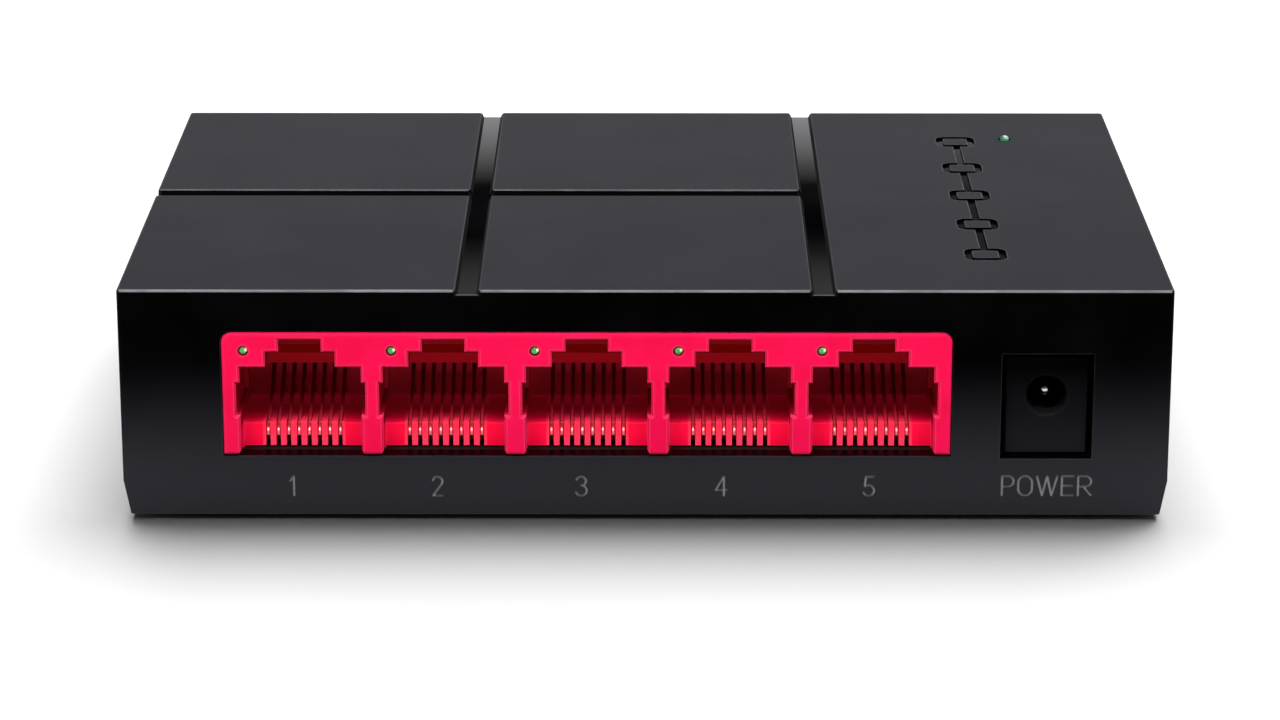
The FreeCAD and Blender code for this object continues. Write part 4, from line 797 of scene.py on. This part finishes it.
def leaf_path(hinge_y, hinge_z, low_z):
    """Solder leg, run on the socket's floor, rear bend, rise to the bump and fall to the tip."""
    rise = math.atan2(LEAF_BUMP[1] - hinge_z, hinge_y - LEAF_BUMP[0])
    centre = (hinge_y - LEAF_BEND_R * math.sin(rise), LEAF_RUN_Z + LEAF_BEND_R)
    corner_z = LEAF_RUN_Z - LEAF_CORNER
    path = [(LEAF_TAIL_Y, low_z), (LEAF_TAIL_Y, corner_z - 0.2)]
    path += arc((LEAF_TAIL_Y + LEAF_CORNER, corner_z), LEAF_CORNER, 180, 90, 5)
    path += [((LEAF_TAIL_Y + centre[0]) / 2, LEAF_RUN_Z)]
    path += arc(centre, LEAF_BEND_R, -90, 90 - math.degrees(rise), 12)
    along_y, along_z = LEAF_BUMP[0] - hinge_y, LEAF_BUMP[1] - hinge_z
    path += [(hinge_y + along_y * share, hinge_z + along_z * share) for share in LEAF_SHARES]
    fall = math.atan2(LEAF_BUMP[1] - LEAF_TIP[1], LEAF_BUMP[0] - LEAF_TIP[0])
    top = (LEAF_BUMP[0], LEAF_BUMP[1] - LEAF_CORNER)
    path += arc(top, LEAF_CORNER, 90 - math.degrees(rise), 90 + math.degrees(fall), 6)
    path.append((LEAF_TIP[0] + 0.1, LEAF_TIP[1] + 0.04))
    return path


leaf_x, leaf_y, leaf_z = hinge_of("power_leaf_press")
leaf_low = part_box("dc_jack_sleeve_terminal")[0].z / MM
leaf_half = middle_and_half("dc_jack_leaf_spring")[1][0]
leaf_profile = section(leaf_half, LEAF_T / 2, LEAF_EDGE)
leaf_strand = sweep(leaf_x, leaf_path(leaf_y, leaf_z, leaf_low), leaf_profile, LEAF_T / 2)
leaf = spring_piece("jack_leaf_contact", [leaf_strand], bronze)
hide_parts("dc_jack_sleeve_terminal", "dc_jack_leaf_spring")
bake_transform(leaf)


# ---------------------------------------------------------------- floor, light and camera
def stage_floor():
    """A plain pale floor at height 0, far wider than any view."""
    mesh = bpy.data.meshes.new("floor")
    half = 6.0
    mesh.from_pydata(
        [(-half, -half, 0), (half, -half, 0), (half, half, 0), (-half, half, 0)], [], [(0, 1, 2, 3)]
    )
    floor = bpy.data.objects.new("floor", mesh)
    bpy.context.scene.collection.objects.link(floor)
    g = Graph("floor_pale")
    tone = g.noise(60.0, 2.0)
    mesh.materials.append(
        g.finish(
            Base_Color=g.mix(tone, (0.86, 0.86, 0.86), (0.88, 0.88, 0.88)),
            Roughness=g.patches(tone, 0.85, 0.95),
            Specular_IOR_Level=0.0,
        )
    )
    floor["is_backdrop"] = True
    return floor


def soft_light(name, place, aim, size, power):
    """A soft area light at place, size wide and high, that points at aim."""
    data = bpy.data.lights.new(name, "AREA")
    data.shape = "RECTANGLE"
    data.size, data.size_y = size
    data.energy = power
    light = bpy.data.objects.new(name, data)
    light.location = place
    light.rotation_euler = (Vector(aim) - light.location).to_track_quat("-Z", "Y").to_euler()
    light.visible_camera = False
    bpy.context.scene.collection.objects.link(light)
    return light


def light_only(light, name, members):
    """Limits a light to the members, through a collection of that name."""
    group = bpy.data.collections.get(name) or bpy.data.collections.new(name)
    for member in members:
        if member.name not in group.objects:
            group.objects.link(member)
    light.light_linking.receiver_collection = group


# Brightness by the sine of the height angle, in the half of the sky behind the object. Its steep
# part is what the polished channel floors mirror: light at their rear ends, black in the middle.
SKY_BEHIND = [
    (0.0, 0.90), (0.244, 0.90), (0.261, 0.0), (0.275, 0.0), (0.284, 0.14), (0.6, 0.06), (1.0, 0.06),
]
SKY_FRONT = (0.05, 0.05, 0.052, 1.0)
BACKDROP = (0.95, 0.95, 0.95, 1.0)


def studio_world():
    """Pale where the camera sees it. As light, a dim dome with a bright low band behind."""
    world = bpy.data.worlds.new("studio")
    bpy.context.scene.world = world
    world.use_nodes = True
    tree = world.node_tree
    coords = tree.nodes.new("ShaderNodeTexCoord")
    split = tree.nodes.new("ShaderNodeSeparateXYZ")
    tree.links.new(coords.outputs["Generated"], split.inputs[0])

    def gradient(source, stops):
        ramp = tree.nodes.new("ShaderNodeValToRGB")
        tree.links.new(source, ramp.inputs[0])
        elements = ramp.color_ramp.elements
        while len(elements) < len(stops):
            elements.new(0.5)
        for element, (place, value) in zip(elements, stops):
            element.position = place
            element.color = (value, value, value * 1.03, 1.0)
        return ramp.outputs["Color"]

    def mixed(share, a, b):
        mix = tree.nodes.new("ShaderNodeMix")
        mix.data_type = "RGBA"
        for socket, given in ((0, share), (6, a), (7, b)):
            if isinstance(given, bpy.types.NodeSocket):
                tree.links.new(given, mix.inputs[socket])
            else:
                mix.inputs[socket].default_value = given
        return mix.outputs[2]

    behind = gradient(split.outputs["Y"], [(0.2, 0.0), (0.5, 1.0)])
    light = mixed(behind, SKY_FRONT, gradient(split.outputs["Z"], SKY_BEHIND))
    path = tree.nodes.new("ShaderNodeLightPath")
    seen = mixed(path.outputs["Is Camera Ray"], light, BACKDROP)
    tree.links.new(seen, tree.nodes["Background"].inputs["Color"])


NODES["port_housing"].visible_diffuse = False  # its painted glow doesn't tint the shadow on the floor
floor = stage_floor()
studio_world()
# The top light stands behind the object and throws its soft shadow forwards
soft_light("top_light", (0.14, 0.82, 1.5), (0.0, 0.0, 0.0), (1.7, 1.75), 57.0)
for side, power in ((-1, 9.0), (1, 7.0)):  # left and right of the front, watts
    fill = soft_light("fill_light", (0.30 * side, -0.60, 1.0), (0.0, 0.0, 0.01), (0.22, 0.4), power)
    light_only(fill, "every_piece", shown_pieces())
glint = soft_light("contact_glint", (-0.01, -0.50, 0.25), (0.0, -0.03, 0.008), (0.24, 0.5), 0.22)
light_only(glint, "contact_pieces", [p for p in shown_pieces() if p.name.endswith("_contacts")])
wash = soft_light("floor_wash", (0.30, -0.60, 0.90), (0.0, -0.05, 0.0), (0.5, 0.4), 0.8)
light_only(wash, "floor_only", [floor])

CAMERA_LENS = 118.7  # on a sensor 36 mm wide
CAMERA_PLACE = (0.000476, -0.42640, 0.14046)
CAMERA_TILT = 72.437  # degrees up from straight down
CAMERA_PAN = 0.1446

camera_data = bpy.data.cameras.new("camera")
camera_data.lens = CAMERA_LENS
camera_data.sensor_width = 36.0
camera_data.clip_start = 0.01
camera = bpy.data.objects.new("camera", camera_data)
camera.location = CAMERA_PLACE
camera.rotation_euler = (math.radians(CAMERA_TILT), 0.0, math.radians(CAMERA_PAN))
bpy.context.scene.collection.objects.link(camera)
bpy.context.scene.camera = camera
bpy.context.scene.view_settings.view_transform = "Standard"
bpy.context.scene.view_settings.look = "None"
